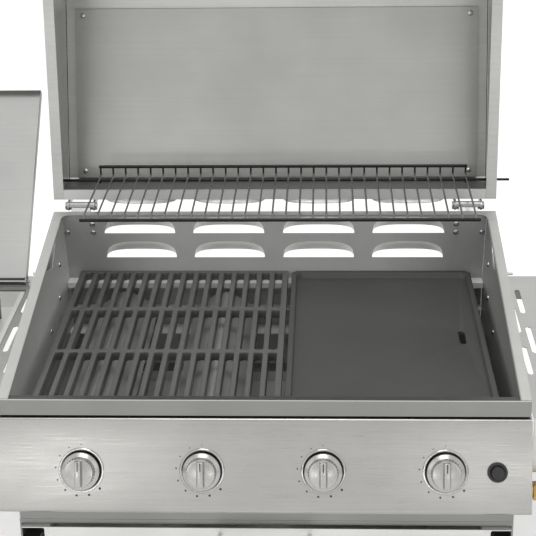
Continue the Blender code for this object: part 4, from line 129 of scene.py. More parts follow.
# Warming rack
RACK_HEIGHT = 0.135
RACK_FRONT = 0.330
RACK_REAR = 0.5015
RACK_MIDDLE = 0.012
RACK_WIRES = 30
RACK_PITCH = 0.020
RACK_BEND = 0.003
FRONT_RAIL_AHEAD = 0.004
FRONT_RAIL_DROP = 0.0085
REAR_RAIL_BEHIND = 0.0015
REAR_RAIL_RISE = 0.015
FRONT_RAIL_REACH = 0.008
REAR_RAIL_REACH = 0.0025
RAIL_RADIUS = 0.0025
RAIL_TIP = 0.0016
RAIL_CHAMFER = 0.0008
ROD_START = (-0.347, 0.4915, RACK_HEIGHT - 0.0038)
LOOP_RADIUS = 0.0038
LOOP_WIRE = 0.0015

# Louvres of the two rear panels, whose outline would be an ellipse with a fullness of 2
LOUVRE_PLACES = (-0.209, -0.070, 0.070, 0.209)
LOUVRE_ROWS = (0.077, 0.0325)
LOUVRE_MOUTH = 0.0085
LOUVRE_SEGMENTS = 48
LOUVRE_FULLNESS = 3
BAND_HALF_WIDTH = 0.270
BAND_FRONT = -0.004
BAND_REAR = 0.020
BAND_BELOW = 0.020
BAND_ABOVE = 0.023
LID_LOUVRE_ROW = 0.022
LID_BAND_LOW = 0.006
LID_BAND_HIGH = 0.046
WINDOW_HALF_DEPTH = 0.006
HOOD_SHIFT = SHEET * 0.2

# Screws: depth and height on the side walls, half width and height on the rear walls
WALL_SCREWS = ((0.362, 0.040), (0.345, -0.008), (0.265, -0.028))
CORNER_SCREWS = ((0.3225, 0.071), (0.282, 0.071), (0.282, 0.086))
LIP_SCREW = (0.3015, 0.040)
LINER_SCREW_PLACE = 0.314
LINER_SCREW_REACHES = (0.0265, 0.275)
LINER_DROP = 0.009
RECESS_HALF_LENGTH = 0.0022
RECESS_HALF_WIDTH = 0.0004
RECESS_FLOOR = 0.0013
RECESS_TOP = 0.004

# Controls
BURNER_PITCH = 0.156
BURNER_PLACES = (-0.234, -0.078, 0.078, 0.234)
IGNITER_PLACE = 0.300
FASCIA_DEPTH = -0.06696
FASCIA_HEIGHT = -0.068192
FASCIA_NORMAL = Vector((0.0, -0.94023, 0.34054))
SEATS = [(Vector((x, FASCIA_DEPTH, FASCIA_HEIGHT)), FASCIA_NORMAL) for x in BURNER_PLACES]
SEATS.append((Vector((-0.509, -0.041, -0.045)), Vector((0.0, -1.0, 0.0))))
KNOB_LABELS = ("1", "2", "3", "4", "for_side_burner")
KNOB_HEIGHT = 0.026
GRIP_HEIGHT = 0.008
KNOB_LOW = 0.0058
KNOB_TOP = KNOB_LOW + KNOB_HEIGHT
KNOB_CROWN = KNOB_TOP - GRIP_HEIGHT
GRIP_HALF_WIDTH = 0.0058
GRIP_HALF_LENGTH = 0.0168
GRIP_ROOT = 0.003
GRIP_TAPER = (0.62, 0.97, 1.0)
GRIP_EDGE = 0.0014
FLUTES = 30
FLUTE_RADIUS = 0.0009
FLUTE_RING = 0.0189
FLUTE_LOW = KNOB_LOW + 0.0090
FLUTE_TOP = KNOB_CROWN - 0.0040
POINTER_HALF_WIDTH = 0.0007
POINTER_START = 0.0040
POINTER_END = 0.0158
POINTER_SUNK = 0.0004
POINTER_PROUD = 0.00025
POINTER_EDGE = 0.0003
DOTS = 9
DOT_RING = 0.0335
DOT_SMALLEST = 0.0007
DOT_GROWTH = 0.0009
DOT_START = 90.0
DOT_SWEEP = 225.0

# Handle and thermometer on the lid
HANDLE_HALF_LENGTH = 0.270
HANDLE_RADIUS = 0.0109
HANDLE_DOME = 0.0030
HANDLE_STAND = 0.040
HANDLE_HEIGHT = 0.036
POST_PLACE = 0.230
POST_GAP = 0.0003
GAUGE_SHARE = 0.5
SCALE_START = 225.0
SCALE_SWEEP = 270.0
TICKS = 31
TICKS_A_FIGURE = 5
TICK_RING = 0.0245
TICK_LONG = 0.0042
TICK_SHORT = 0.0024
TICK_HALF_WIDTH = 0.00022
TICK_LOW = 0.0087
TICK_TOP = 0.0090
DIAL_FACE = 0.0088
FIGURES = 7
FIGURE_STEP = 50
FIGURE_RING = 0.0168
FIGURE_SIZE = 0.0042
FIGURE_DEPTH = 0.0001
NEEDLE_TAIL = 0.004
NEEDLE_LENGTH = 0.0190
NEEDLE_HALF_WIDTH = 0.0007
NEEDLE_LOW = 0.0094
NEEDLE_TOP = 0.0098
NEEDLE_TAPER = (1.0, 0.3, 1.0)

# Turned pieces: radius and height of each ring
ROD_RINGS = ((0.0012, 0.0), (0.002, 0.0008), (0.002, 0.716), (0.0012, 0.717))
SCREW_RINGS = ((0.0044, -0.0002), (0.0044, 0.0006), (0.0042, 0.0013), (0.0034, 0.0020),
               (0.0020, 0.0024), (0.0006, 0.0025))
KNOB_SKIRT_RINGS = ((0.0060, 0.0), (0.0238, 0.0), (0.0245, 0.0008), (0.0245, 0.0038),
                    (0.0236, 0.0050), (0.0200, 0.0068), (0.0190, 0.0082))
KNOB_CROWN_RINGS = ((0.0188, -0.0022), (0.0182, -0.0007), (0.0168, 0.0))
BEZEL_RINGS = ((0.0068, 0.0008), (0.0068, 0.0017), (0.0250, 0.0017), (0.0262, 0.0024),
               (0.0282, 0.0024), (0.0292, 0.0014), (0.0294, 0.0), (0.0068, 0.0), (0.0068, 0.0008))
DOT_RINGS = ((1.0, -0.0002), (1.0, 0.0002), (0.7, 0.0003))
BUTTON_RINGS = ((0.0084, -0.022), (0.0084, 0.0078), (0.0078, 0.0087), (0.0064, 0.0090),
                (0.0052, 0.0084), (0.0020, 0.0080))
COLLAR_RINGS = ((0.0088, -0.028), (0.0088, 0.0030), (0.0096, 0.0034), (0.0118, 0.0033), (0.0129, 0.0026),
                (0.0130, 0.0003), (0.0103, 0.0003), (0.0103, -0.028), (0.0088, -0.028))
POST_RINGS = ((0.0080, 0.0), (0.0086, 0.0010), (0.0086, 0.0022), (0.0066, 0.0050), (0.0060, 0.0090),
              (0.0060, 0.0190), (0.0068, 0.0240), (0.0080, 0.0270), (0.0080, 0.0330))
CASE_RINGS = ((0.0030, -0.060), (0.0030, -0.0004), (0.0285, 0.0003), (0.0298, 0.0012), (0.0300, 0.0090),
              (0.0296, 0.0110), (0.0286, 0.0119), (0.0276, 0.0119), (0.0268, 0.0108), (0.0266, 0.0085))
DIAL_RINGS = ((0.0265, 0.0085), (0.0265, 0.0088))
HUB_RINGS = ((0.0022, 0.0088), (0.0022, 0.0101), (0.0015, 0.0105))
FOOT_RINGS = ((0.0155, 0.0), (0.0170, 0.0015), (0.0170, 0.0115), (0.0160, 0.0135), (0.0128, 0.0142),
              (0.0120, 0.0152))
FOOT_NECK = 0.0120

# Where finishes change: outside of the side walls, bright edge of the rim, the lid's side joints, the
# painted shade behind its rear lip and the painted highlight on its hoods, the painted shade and
# highlight of the firebox's dents, the painted highlight and shade at its front edge, the painted shade
# at the pan's rear, the rear panel's ledges painted as light, a rack wire's upturn, and a burner's ports
# and electrode
WALL_OUTSIDE = 0.3296
RIM_SKIN = 0.0019
SEAM = 0.3421
LIP_WIDTH = 0.0040
HOOD_START = 0.0004
DENT_START = 0.0006
FRONT_FLANGE = 0.0008
FRONT_FOLD = 0.0014
PAN_REAR = 0.006
LEDGE_HEIGHT = 0.2325
LEDGE_DEPTH = 0.1562
UPTURN = (0.3825, 0.3850)
PORT_ROW = 0.0085
PORT_PITCH = 0.0025
PORT_RADIUS = 0.0009
PORT_LEVEL = 0.1665
ELECTRODE_PLACE = 0.022
ELECTRODE_RADIUS = 0.0045

# Stage: place, size and power of each lamp, and the camera
LAMPS = {
    "lamp_above": ((0.0, -0.5, 2.6), 1.2, 21.0),
    "lamp_left": ((-2.4, -1.8, 1.7), 2.2, 17.0),
    "lamp_right": ((2.4, -1.8, 1.7), 2.2, 9.0),
    "card_left": ((-0.70, -2.55, 0.56), 0.30, 1.8),
    "card_right": ((0.60, -2.55, 0.56), 0.25, 1.2),
}
LAMP_TARGET = Vector((0.0, 0.0, 0.3))
FLOOR_SIZE = 14.0
FLOOR_GLOW = 0.45
CAMERA_PLACE = (0.08133, -1.95416, 1.13761)
CAMERA_PITCH = radians(22.829)
CAMERA_YAW = radians(-2.488)
CAMERA_ROLL = radians(0.974)
CAMERA_LENS = 97.14

# The range that a noise keeps to for the most part
NOISE = (0.3, 0.7)

FINISH = {}

# Nodes shown in their own shape with their finish, and those whose edges are rounded
DRESSED = {
    "plates": {"griddle_plate": "griddle_enamel"},
    "firebox": {
        "firebox_left_side": "wall_steel",
        "firebox_right_side": "wall_steel",
        "firebox_front_wall": "front_steel",
        "base_frame": "rail_steel",
        "control_panel": "panel_steel",
    },
    "burners": {
        **{f"burner_{number}": "burner_steel" for number in range(1, 5)},
        **{f"flame_tamer_{number}": "tamer_steel" for number in range(1, 5)},
    },
    "gas": {
        "gas_manifold": "brass",
        **{"valve_stem_" + label: "brass" for label in KNOB_LABELS},
    },
    "lid": {
        "lid_skin": "lid_skin_steel",
        "lid_left_end": "upright_steel",
        "lid_right_end": "upright_steel",
        "lid_liner": "liner_steel",
    },
    "hinges": {
        "left_hinge_knuckle": "hinge_steel",
        "right_hinge_knuckle": "hinge_steel",
        "lid_left_lug": "hinge_steel",
        "lid_right_lug": "hinge_steel",
    },
    "tables": {
        "left_table": "brushed_steel",
        "right_table": "brushed_steel",
        "left_table_bracket": "rail_steel",
        "right_table_bracket": "rail_steel",
    },
    "side_burner": {
        "side_burner_lid": "side_lid_steel",
        "side_burner_pan": "pan_steel",
        "side_lid_hinge_plate": "hinge_steel",
        "side_burner_head": "cast_iron",
        "side_burner_grate": "cast_iron",
    },
    "tray": {
        "grease_tray": "tray_steel",
        "grease_cup": "brushed_steel",
    },
}
EDGES = {"griddle_plate": 0.0012, "side_burner_head": 0.0004, "side_burner_grate": 0.0008}


# Colours and finishes

def linear(code):
    """Linear colour of an sRGB hex value."""
    shares = [int(code[start:start + 2], 16) / 255 for start in (1, 3, 5)]
    return tuple(share / 12.92 if share <= 0.04045 else ((share + 0.055) / 1.055) ** 2.4 for share in shares)


def shade_of(tone, share=1.0):
    """A linear colour made lighter or darker, with the alpha that a node's socket wants."""
    return (*[min(1.0, part * share) for part in tone], 1.0)


def between(start, end, low, high):
    """Range inputs that take start to low and end to high."""
    return {"From Min": start, "From Max": end, "To Min": low, "To Max": high}


def add(tree, kind, inputs=None, **settings):
    """Adds one node: an input that is a socket is linked and any other value is set."""
    made = tree.nodes.new(kind)
    for name, value in settings.items():
        setattr(made, name, value)
    for key, value in (inputs or {}).items():
        if isinstance(value, bpy.types.NodeSocket):
            tree.links.new(value, made.inputs[key])
        else:
            made.inputs[key].default_value = value
    return made


def new_finish(name, **sockets):
    """Starts a material: its tree, its shader with the given sockets, and the object's coordinates."""
    finish = bpy.data.materials.new(name)
    finish.use_nodes = True
    tree = finish.node_tree
    shader = tree.nodes["Principled BSDF"]
    for key, value in sockets.items():
        shader.inputs[key.replace("_", " ")].default_value = value
    place = add(tree, "ShaderNodeTexCoord").outputs["Object"]
    FINISH[name] = finish
    return tree, shader, place


def brushed(name, tone, lines=(18.0, 1500.0, 1500.0), roughness=(0.30, 0.42), contrast=0.10, metallic=1.0):
    """Stainless steel sheet with a ground finish: hair lines about a millimetre apart along one axis,
    drawn again four times as wide so that they show, under faint wiping marks."""
    tree, shader, place = new_finish(name, Metallic=metallic)
    hairs = add(tree, "ShaderNodeMapping", {"Vector": place, "Scale": lines}).outputs[0]
    fine = add(tree, "ShaderNodeTexNoise",
               {"Vector": hairs, "Scale": 1.0, "Detail": 3.0, "Roughness": 0.6}).outputs["Fac"]
    wide = add(tree, "ShaderNodeMapping", {"Vector": place, "Scale": [size / 4 for size in lines]}).outputs[0]
    streaks = add(tree, "ShaderNodeTexNoise", {"Vector": wide, "Scale": 1.0, "Detail": 2.0}).outputs["Fac"]
    marks = add(tree, "ShaderNodeTexNoise",
                {"Vector": place, "Scale": 9.0, "Detail": 4.0, "Roughness": 0.55}).outputs["Fac"]
    steel = add(tree, "ShaderNodeMix", {"Factor": streaks, 6: shade_of(tone, 1.0 - contrast),
                                        7: shade_of(tone, 1.0 + contrast)}, data_type="RGBA").outputs[2]
    film = add(tree, "ShaderNodeMapRange", {"Value": marks, **between(*NOISE, 0.94, 1.05)}).outputs[0]
    wiped = add(tree, "ShaderNodeVectorMath", {0: steel, "Scale": film}, operation="SCALE").outputs[0]
    gloss = add(tree, "ShaderNodeMapRange", {"Value": fine, **between(*NOISE, *roughness)}).outputs[0]
    bump = add(tree, "ShaderNodeBump", {"Height": fine, "Strength": 0.10, "Distance": 0.0002}).outputs[0]
    tree.links.new(wiped, shader.inputs["Base Color"])
    tree.links.new(gloss, shader.inputs["Roughness"])
    tree.links.new(bump, shader.inputs["Normal"])
    return tree, shader, place, wiped


def along(tree, place, point, direction):
    """How far a place lies from a point along a direction."""
    away = add(tree, "ShaderNodeVectorMath", {0: place, 1: point}, operation="SUBTRACT").outputs[0]
    return add(tree, "ShaderNodeVectorMath", {0: away, 1: direction},
               operation="DOT_PRODUCT").outputs["Value"]


def soot_and_painted_shading(tree, place, tone, share):
    """Heat-dulled sheet: soft clouds several centimetres wide in its colour, scaled by a share of painted
    shade and highlight.
    """
    soot = add(tree, "ShaderNodeTexNoise",
               {"Vector": place, "Scale": 14.0, "Detail": 5.0, "Roughness": 0.6}).outputs["Fac"]
    clouds = add(tree, "ShaderNodeMix", {"Factor": soot, 6: shade_of(tone, 0.86), 7: shade_of(tone, 1.12)},
                 data_type="RGBA").outputs[2]
    return add(tree, "ShaderNodeVectorMath", {0: clouds, "Scale": share}, operation="SCALE").outputs[0]


def rim_height(tree, place):
    """How far a place lies above the slanted plane of the firebox's rim."""
    point = GRILL @ Vector((0.0, REAR_TOP_DEPTH, REAR_TOP_HEIGHT))
    return along(tree, place, point, Vector((0.0, -sin(RIM_SLOPE), cos(RIM_SLOPE))))


def side_wall(name, inner, outer):
    """Folded steel side of the firebox: a bright ground flange and outside, and a heat-dulled inside
    with painted shade under its rim, darker still on the right wall beside the griddle."""
    tree, shader, place, bright = brushed(name, outer, (18.0, 18.0, 700.0), (0.36, 0.50), 0.04)
    sideways = add(tree, "ShaderNodeSeparateXYZ", {0: place}).outputs["X"]
    across = add(tree, "ShaderNodeMath", {0: sideways}, operation="ABSOLUTE").outputs[0]
    outside = add(tree, "ShaderNodeMath", {0: across, 1: WALL_OUTSIDE}, operation="GREATER_THAN").outputs[0]
    right = add(tree, "ShaderNodeMath", {0: sideways, 1: 0.0}, operation="GREATER_THAN").outputs[0]
    # Painted shade: the inside is darker towards the rim, and darker on the right wall beside the griddle
    beside = add(tree, "ShaderNodeMapRange", {"Value": right, **between(0.0, 1.0, 1.0, 0.58)}).outputs[0]
    upward = add(tree, "ShaderNodeMapRange",
                 {"Value": rim_height(tree, place), **between(-0.110, -0.006, 1.25, 0.76)}).outputs[0]
    painted_shading = add(tree, "ShaderNodeMath", {0: upward, 1: beside}, operation="MULTIPLY").outputs[0]
    tone = add(tree, "ShaderNodeMix", {"Factor": outside, 6: soot_and_painted_shading(tree, place, inner, painted_shading), 7: bright},
               data_type="RGBA").outputs[2]
    metal = add(tree, "ShaderNodeMapRange", {"Value": outside, **between(0.0, 1.0, 0.15, 1.0)}).outputs[0]
    tree.links.new(tone, shader.inputs["Base Color"])
    tree.links.new(metal, shader.inputs["Metallic"])


def rear_wall(name, inner, outer, ledge):
    """Steel rear panel of the firebox: a bright rim, a heat-dulled wall with painted shade and highlight
    in the dents of its pressed louvres and painted shade towards its ends, and ledges painted as light."""
    tree, shader, place, bright = brushed(name, outer, (18.0, 18.0, 700.0), (0.36, 0.50), 0.04)
    rim = add(tree, "ShaderNodeMath", {0: rim_height(tree, place), 1: -RIM_SKIN},
              operation="GREATER_THAN").outputs[0]
    depth = along(tree, place, REAR.translation, REAR.to_3x3() @ Vector((0.0, 1.0, 0.0)))
    spot = add(tree, "ShaderNodeSeparateXYZ", {0: place}).outputs
    # Painted light: the folded ledges low under the grate get a near-white tone
    low = add(tree, "ShaderNodeMath", {0: spot["Z"], 1: LEDGE_HEIGHT}, operation="LESS_THAN").outputs[0]
    ahead = add(tree, "ShaderNodeMath", {0: spot["Y"], 1: LEDGE_DEPTH}, operation="LESS_THAN").outputs[0]
    shelf = add(tree, "ShaderNodeMath", {0: low, 1: ahead}, operation="MULTIPLY").outputs[0]
    # Painted shade and highlight in the louvre dents: dark at the shoulder, a light band, then darker towards
    # the mouth
    behind = add(tree, "ShaderNodeMath", {0: depth, 1: DENT_START}, operation="GREATER_THAN").outputs[0]
    edge = add(tree, "ShaderNodeMapRange", {"Value": depth, **between(0.0030, 0.0062, 0.58, 2.30)}).outputs[0]
    back = add(tree, "ShaderNodeMapRange", {"Value": depth, **between(0.0085, 0.0115, 1.0, 0.62)}).outputs[0]
    hollow = add(tree, "ShaderNodeMath", {0: edge, 1: back}, operation="MULTIPLY").outputs[0]
    dent = add(tree, "ShaderNodeMath", {0: hollow, 1: behind}, operation="MULTIPLY").outputs[0]
    sheet = add(tree, "ShaderNodeMath", {0: 1.0, 1: behind}, operation="SUBTRACT").outputs[0]
    middle = add(tree, "ShaderNodeMath", {0: dent, 1: sheet}, operation="ADD").outputs[0]
    # Painted shade: the wall grows darker towards its ends, by the side walls
    across = add(tree, "ShaderNodeMath", {0: spot["X"]}, operation="ABSOLUTE").outputs[0]
    ends = add(tree, "ShaderNodeMapRange", {"Value": across, **between(0.17, 0.28, 1.0, 0.66)}).outputs[0]
    painted_shading = add(tree, "ShaderNodeMath", {0: middle, 1: ends}, operation="MULTIPLY").outputs[0]
    wall = add(tree, "ShaderNodeMix", {"Factor": rim, 6: soot_and_painted_shading(tree, place, inner, painted_shading), 7: bright},
               data_type="RGBA").outputs[2]
    tone = add(tree, "ShaderNodeMix", {"Factor": shelf, 6: wall, 7: shade_of(ledge)},
               data_type="RGBA").outputs[2]
    metal = add(tree, "ShaderNodeMapRange", {"Value": rim, **between(0.0, 1.0, 0.15, 1.0)}).outputs[0]
    tree.links.new(tone, shader.inputs["Base Color"])
    tree.links.new(metal, shader.inputs["Metallic"])


def lid_wall(name, tone, trough, hood):
    """Rear wall inside the lid: dark between its folded lip and the liner as painted shade, and near
    white on its hoods as a painted highlight."""
    tree, shader, place, bright = brushed(name, tone, contrast=0.05)
    turn = LID.to_3x3()
    behind = along(tree, place, LID.translation, turn @ Vector((0.0, 0.0, 1.0)))
    outward = along(tree, place, LID.translation, turn @ Vector((0.0, 1.0, 0.0)))
    inside = add(tree, "ShaderNodeMath", {0: outward, 1: LID_REAR_FACE - SHEET * 0.4},
                 operation="LESS_THAN").outputs[0]
    past_lip = add(tree, "ShaderNodeMath", {0: behind, 1: LIP_WIDTH}, operation="GREATER_THAN").outputs[0]
    # Painted shade: the trough between the lip and the liner is dark
    dark = add(tree, "ShaderNodeMath", {0: inside, 1: past_lip}, operation="MULTIPLY").outputs[0]
    # Painted highlight: the hoods' outer faces are near white
    proud = add(tree, "ShaderNodeMath", {0: outward, 1: LID_REAR_FACE + HOOD_START},
                operation="GREATER_THAN").outputs[0]
    sheet = add(tree, "ShaderNodeMix", {"Factor": proud, 6: bright, 7: shade_of(hood)},
                data_type="RGBA").outputs[2]
    wall = add(tree, "ShaderNodeMix", {"Factor": dark, 6: sheet, 7: shade_of(trough)},
               data_type="RGBA").outputs[2]
    metal = add(tree, "ShaderNodeMapRange", {"Value": dark, **between(0.0, 1.0, 1.0, 0.3)}).outputs[0]
    tree.links.new(wall, shader.inputs["Base Color"])
    tree.links.new(metal, shader.inputs["Metallic"])


def front_wall(name, tone, edge, painted_shade_tone, top, face):
    """Front wall of the firebox: a ground face, a folded edge painted bright as a painted highlight, and a
    flange behind it painted dark as painted shade.
    """
    tree, shader, place, steel = brushed(name, tone, contrast=0.04, roughness=(0.36, 0.46))
    spot = add(tree, "ShaderNodeSeparateXYZ", {0: place}).outputs
    # Painted highlight on the folded front edge, painted shade on the flange behind it
    flange = add(tree, "ShaderNodeMath", {0: spot["Z"], 1: top}, operation="GREATER_THAN").outputs[0]
    fold = add(tree, "ShaderNodeMath", {0: spot["Y"], 1: face}, operation="LESS_THAN").outputs[0]
    upper = add(tree, "ShaderNodeMix", {"Factor": fold, 6: shade_of(painted_shade_tone), 7: shade_of(edge)},
                data_type="RGBA").outputs[2]
    wall = add(tree, "ShaderNodeMix", {"Factor": flange, 6: steel, 7: upper}, data_type="RGBA").outputs[2]
    tree.links.new(wall, shader.inputs["Base Color"])


def pan_steel(name, tone, painted_shade_tone, rear):
    """Pan of the side burner: bright steel, with painted shade on its rear wall."""
    tree, shader, place, steel = brushed(name, tone, contrast=0.05, metallic=0.3)
    spot = add(tree, "ShaderNodeSeparateXYZ", {0: place}).outputs
    # Painted shade: the pan's rear wall is dark
    painted_shading = add(tree, "ShaderNodeMath", {0: spot["Y"], 1: rear}, operation="GREATER_THAN").outputs[0]
    pan = add(tree, "ShaderNodeMix", {"Factor": painted_shading, 6: steel, 7: shade_of(painted_shade_tone)},
              data_type="RGBA").outputs[2]
    tree.links.new(pan, shader.inputs["Base Color"])


def seamed(name, tone, joint):
    """The lid's skin: ground steel with a dark joint where it meets the pressed ends."""
    tree, shader, place, steel = brushed(name, tone)
    spot = add(tree, "ShaderNodeSeparateXYZ", {0: place}).outputs
    across = add(tree, "ShaderNodeMath", {0: spot["X"]}, operation="ABSOLUTE").outputs[0]
    edge = add(tree, "ShaderNodeMath", {0: across, 1: SEAM}, operation="GREATER_THAN").outputs[0]
    skin = add(tree, "ShaderNodeMix", {"Factor": edge, 6: steel, 7: shade_of(joint)},
               data_type="RGBA").outputs[2]
    tree.links.new(skin, shader.inputs["Base Color"])


def cast(name, tone, grain, roughness, relief, coat):
    """Cast or enamelled iron: sand grain of the given size under a thin sheen, worn in patches."""
    tree, shader, place = new_finish(name, Coat_Weight=coat, Coat_Roughness=0.22)
    sand = add(tree, "ShaderNodeTexNoise",
               {"Vector": place, "Scale": 1.0 / grain, "Detail": 4.0, "Roughness": 0.65}).outputs["Fac"]
    pits = add(tree, "ShaderNodeTexVoronoi", {"Vector": place, "Scale": 0.6 / grain}).outputs["Distance"]
    worn = add(tree, "ShaderNodeTexNoise", {"Vector": place, "Scale": 11.0, "Detail": 3.0}).outputs["Fac"]
    iron = add(tree, "ShaderNodeMix", {"Factor": sand, 6: shade_of(tone, 0.80), 7: shade_of(tone, 1.22)},
               data_type="RGBA").outputs[2]
    film = add(tree, "ShaderNodeMapRange", {"Value": worn, **between(*NOISE, 0.9, 1.1)}).outputs[0]
    rubbed = add(tree, "ShaderNodeVectorMath", {0: iron, "Scale": film}, operation="SCALE").outputs[0]
    gloss = add(tree, "ShaderNodeMapRange", {"Value": worn, **between(*NOISE, *roughness)}).outputs[0]
    height = add(tree, "ShaderNodeMath", {0: sand, 1: pits}, operation="ADD").outputs[0]
    bump = add(tree, "ShaderNodeBump", {"Height": height, "Strength": relief, "Distance": 0.0006}).outputs[0]
    tree.links.new(rubbed, shader.inputs["Base Color"])
    tree.links.new(gloss, shader.inputs["Roughness"])
    tree.links.new(bump, shader.inputs["Normal"])


def plain(name, tone, grain, roughness, relief, **sockets):
    """Smooth finish with a fine grain in its surface and a faint unevenness in its colour and gloss."""
    tree, shader, place = new_finish(name, **sockets)
    grains = add(tree, "ShaderNodeTexNoise",
                 {"Vector": place, "Scale": 1.0 / grain, "Detail": 3.0}).outputs["Fac"]
    cloud = add(tree, "ShaderNodeTexNoise", {"Vector": place, "Scale": 35.0, "Detail": 3.0}).outputs["Fac"]
    coloured = add(tree, "ShaderNodeMix", {"Factor": cloud, 6: shade_of(tone), 7: shade_of(tone, 0.92)},
                   data_type="RGBA").outputs[2]
    gloss = add(tree, "ShaderNodeMapRange", {"Value": cloud, **between(*NOISE, *roughness)}).outputs[0]
    bump = add(tree, "ShaderNodeBump", {"Height": grains, "Strength": relief, "Distance": 0.0003}).outputs[0]
    tree.links.new(coloured, shader.inputs["Base Color"])
    tree.links.new(gloss, shader.inputs["Roughness"])
    tree.links.new(bump, shader.inputs["Normal"])
    return tree, shader, place, coloured


def rack_wire(name, tone, burnt):
    """Drawn steel wire: grey where it is wiped level, and black where it turns up at the rear rail."""
    tree, shader, place, wire = plain(name, tone, 0.0006, (0.25, 0.38), 0.08, Metallic=0.6)
    spot = add(tree, "ShaderNodeSeparateXYZ", {0: place}).outputs
    raised = add(tree, "ShaderNodeMapRange", {"Value": spot["Z"], **between(*UPTURN, 0.0, 1.0)}).outputs[0]
    drawn = add(tree, "ShaderNodeMix", {"Factor": raised, 6: wire, 7: shade_of(burnt)},
                data_type="RGBA").outputs[2]
    tree.links.new(drawn, shader.inputs["Base Color"])


def burner_tube(name, tone, port, ceramic):
    """Stainless burner tube, straw-coloured by heat towards the back, with two rows of port holes
    every two and a half millimetres and a white ceramic electrode at its side."""
    tree, shader, place, steel = brushed(name, tone, (900.0, 18.0, 900.0), (0.28, 0.42), 0.08)
    spot = add(tree, "ShaderNodeSeparateXYZ", {0: place}).outputs
    shifted = add(tree, "ShaderNodeMath", {0: spot["X"], 1: 2 * BURNER_PITCH}, operation="ADD").outputs[0]
    wrapped = add(tree, "ShaderNodeMath", {0: shifted, 1: BURNER_PITCH}, operation="MODULO").outputs[0]
    across = add(tree, "ShaderNodeMath", {0: wrapped, 1: BURNER_PITCH / 2}, operation="SUBTRACT").outputs[0]
    either = add(tree, "ShaderNodeMath", {0: across}, operation="ABSOLUTE").outputs[0]
    row = add(tree, "ShaderNodeMath", {0: either, 1: PORT_ROW}, operation="SUBTRACT").outputs[0]
    folded = add(tree, "ShaderNodeMath", {0: spot["Y"], 1: PORT_PITCH}, operation="PINGPONG").outputs[0]
    back = add(tree, "ShaderNodeMath", {0: folded, 1: PORT_PITCH / 2}, operation="SUBTRACT").outputs[0]
    centre = add(tree, "ShaderNodeCombineXYZ", {0: row, 1: back}).outputs[0]
    far = add(tree, "ShaderNodeVectorMath", {0: centre}, operation="LENGTH").outputs["Value"]
    near = add(tree, "ShaderNodeMath", {0: far, 1: PORT_RADIUS}, operation="LESS_THAN").outputs[0]
    top = add(tree, "ShaderNodeMath", {0: spot["Z"], 1: PORT_LEVEL}, operation="GREATER_THAN").outputs[0]
    hole = add(tree, "ShaderNodeMath", {0: near, 1: top}, operation="MULTIPLY").outputs[0]
    heat = add(tree, "ShaderNodeMapRange", {"Value": spot["Y"], **between(-0.28, 0.0, 0.0, 1.0)}).outputs[0]
    straw = add(tree, "ShaderNodeMix", {"Factor": heat, 6: (1.0, 1.0, 1.0, 1.0), 7: (0.86, 0.74, 0.56, 1.0)},
                data_type="RGBA").outputs[2]
    warm = add(tree, "ShaderNodeMix", {"Factor": 1.0, 6: steel, 7: straw}, data_type="RGBA",
               blend_type="MULTIPLY").outputs[2]
    ported = add(tree, "ShaderNodeMix", {"Factor": hole, 6: warm, 7: shade_of(port)},
                 data_type="RGBA").outputs[2]
    aside = add(tree, "ShaderNodeMath", {0: across, 1: ELECTRODE_PLACE}, operation="SUBTRACT").outputs[0]
    beside = add(tree, "ShaderNodeMath", {0: aside}, operation="ABSOLUTE").outputs[0]
    rod = add(tree, "ShaderNodeMath", {0: beside, 1: ELECTRODE_RADIUS}, operation="LESS_THAN").outputs[0]
    tube = add(tree, "ShaderNodeMix", {"Factor": rod, 6: ported, 7: shade_of(ceramic)},
               data_type="RGBA").outputs[2]
    metal = add(tree, "ShaderNodeMath", {0: 1.0, 1: rod}, operation="SUBTRACT").outputs[0]
    tree.links.new(tube, shader.inputs["Base Color"])
    tree.links.new(metal, shader.inputs["Metallic"])


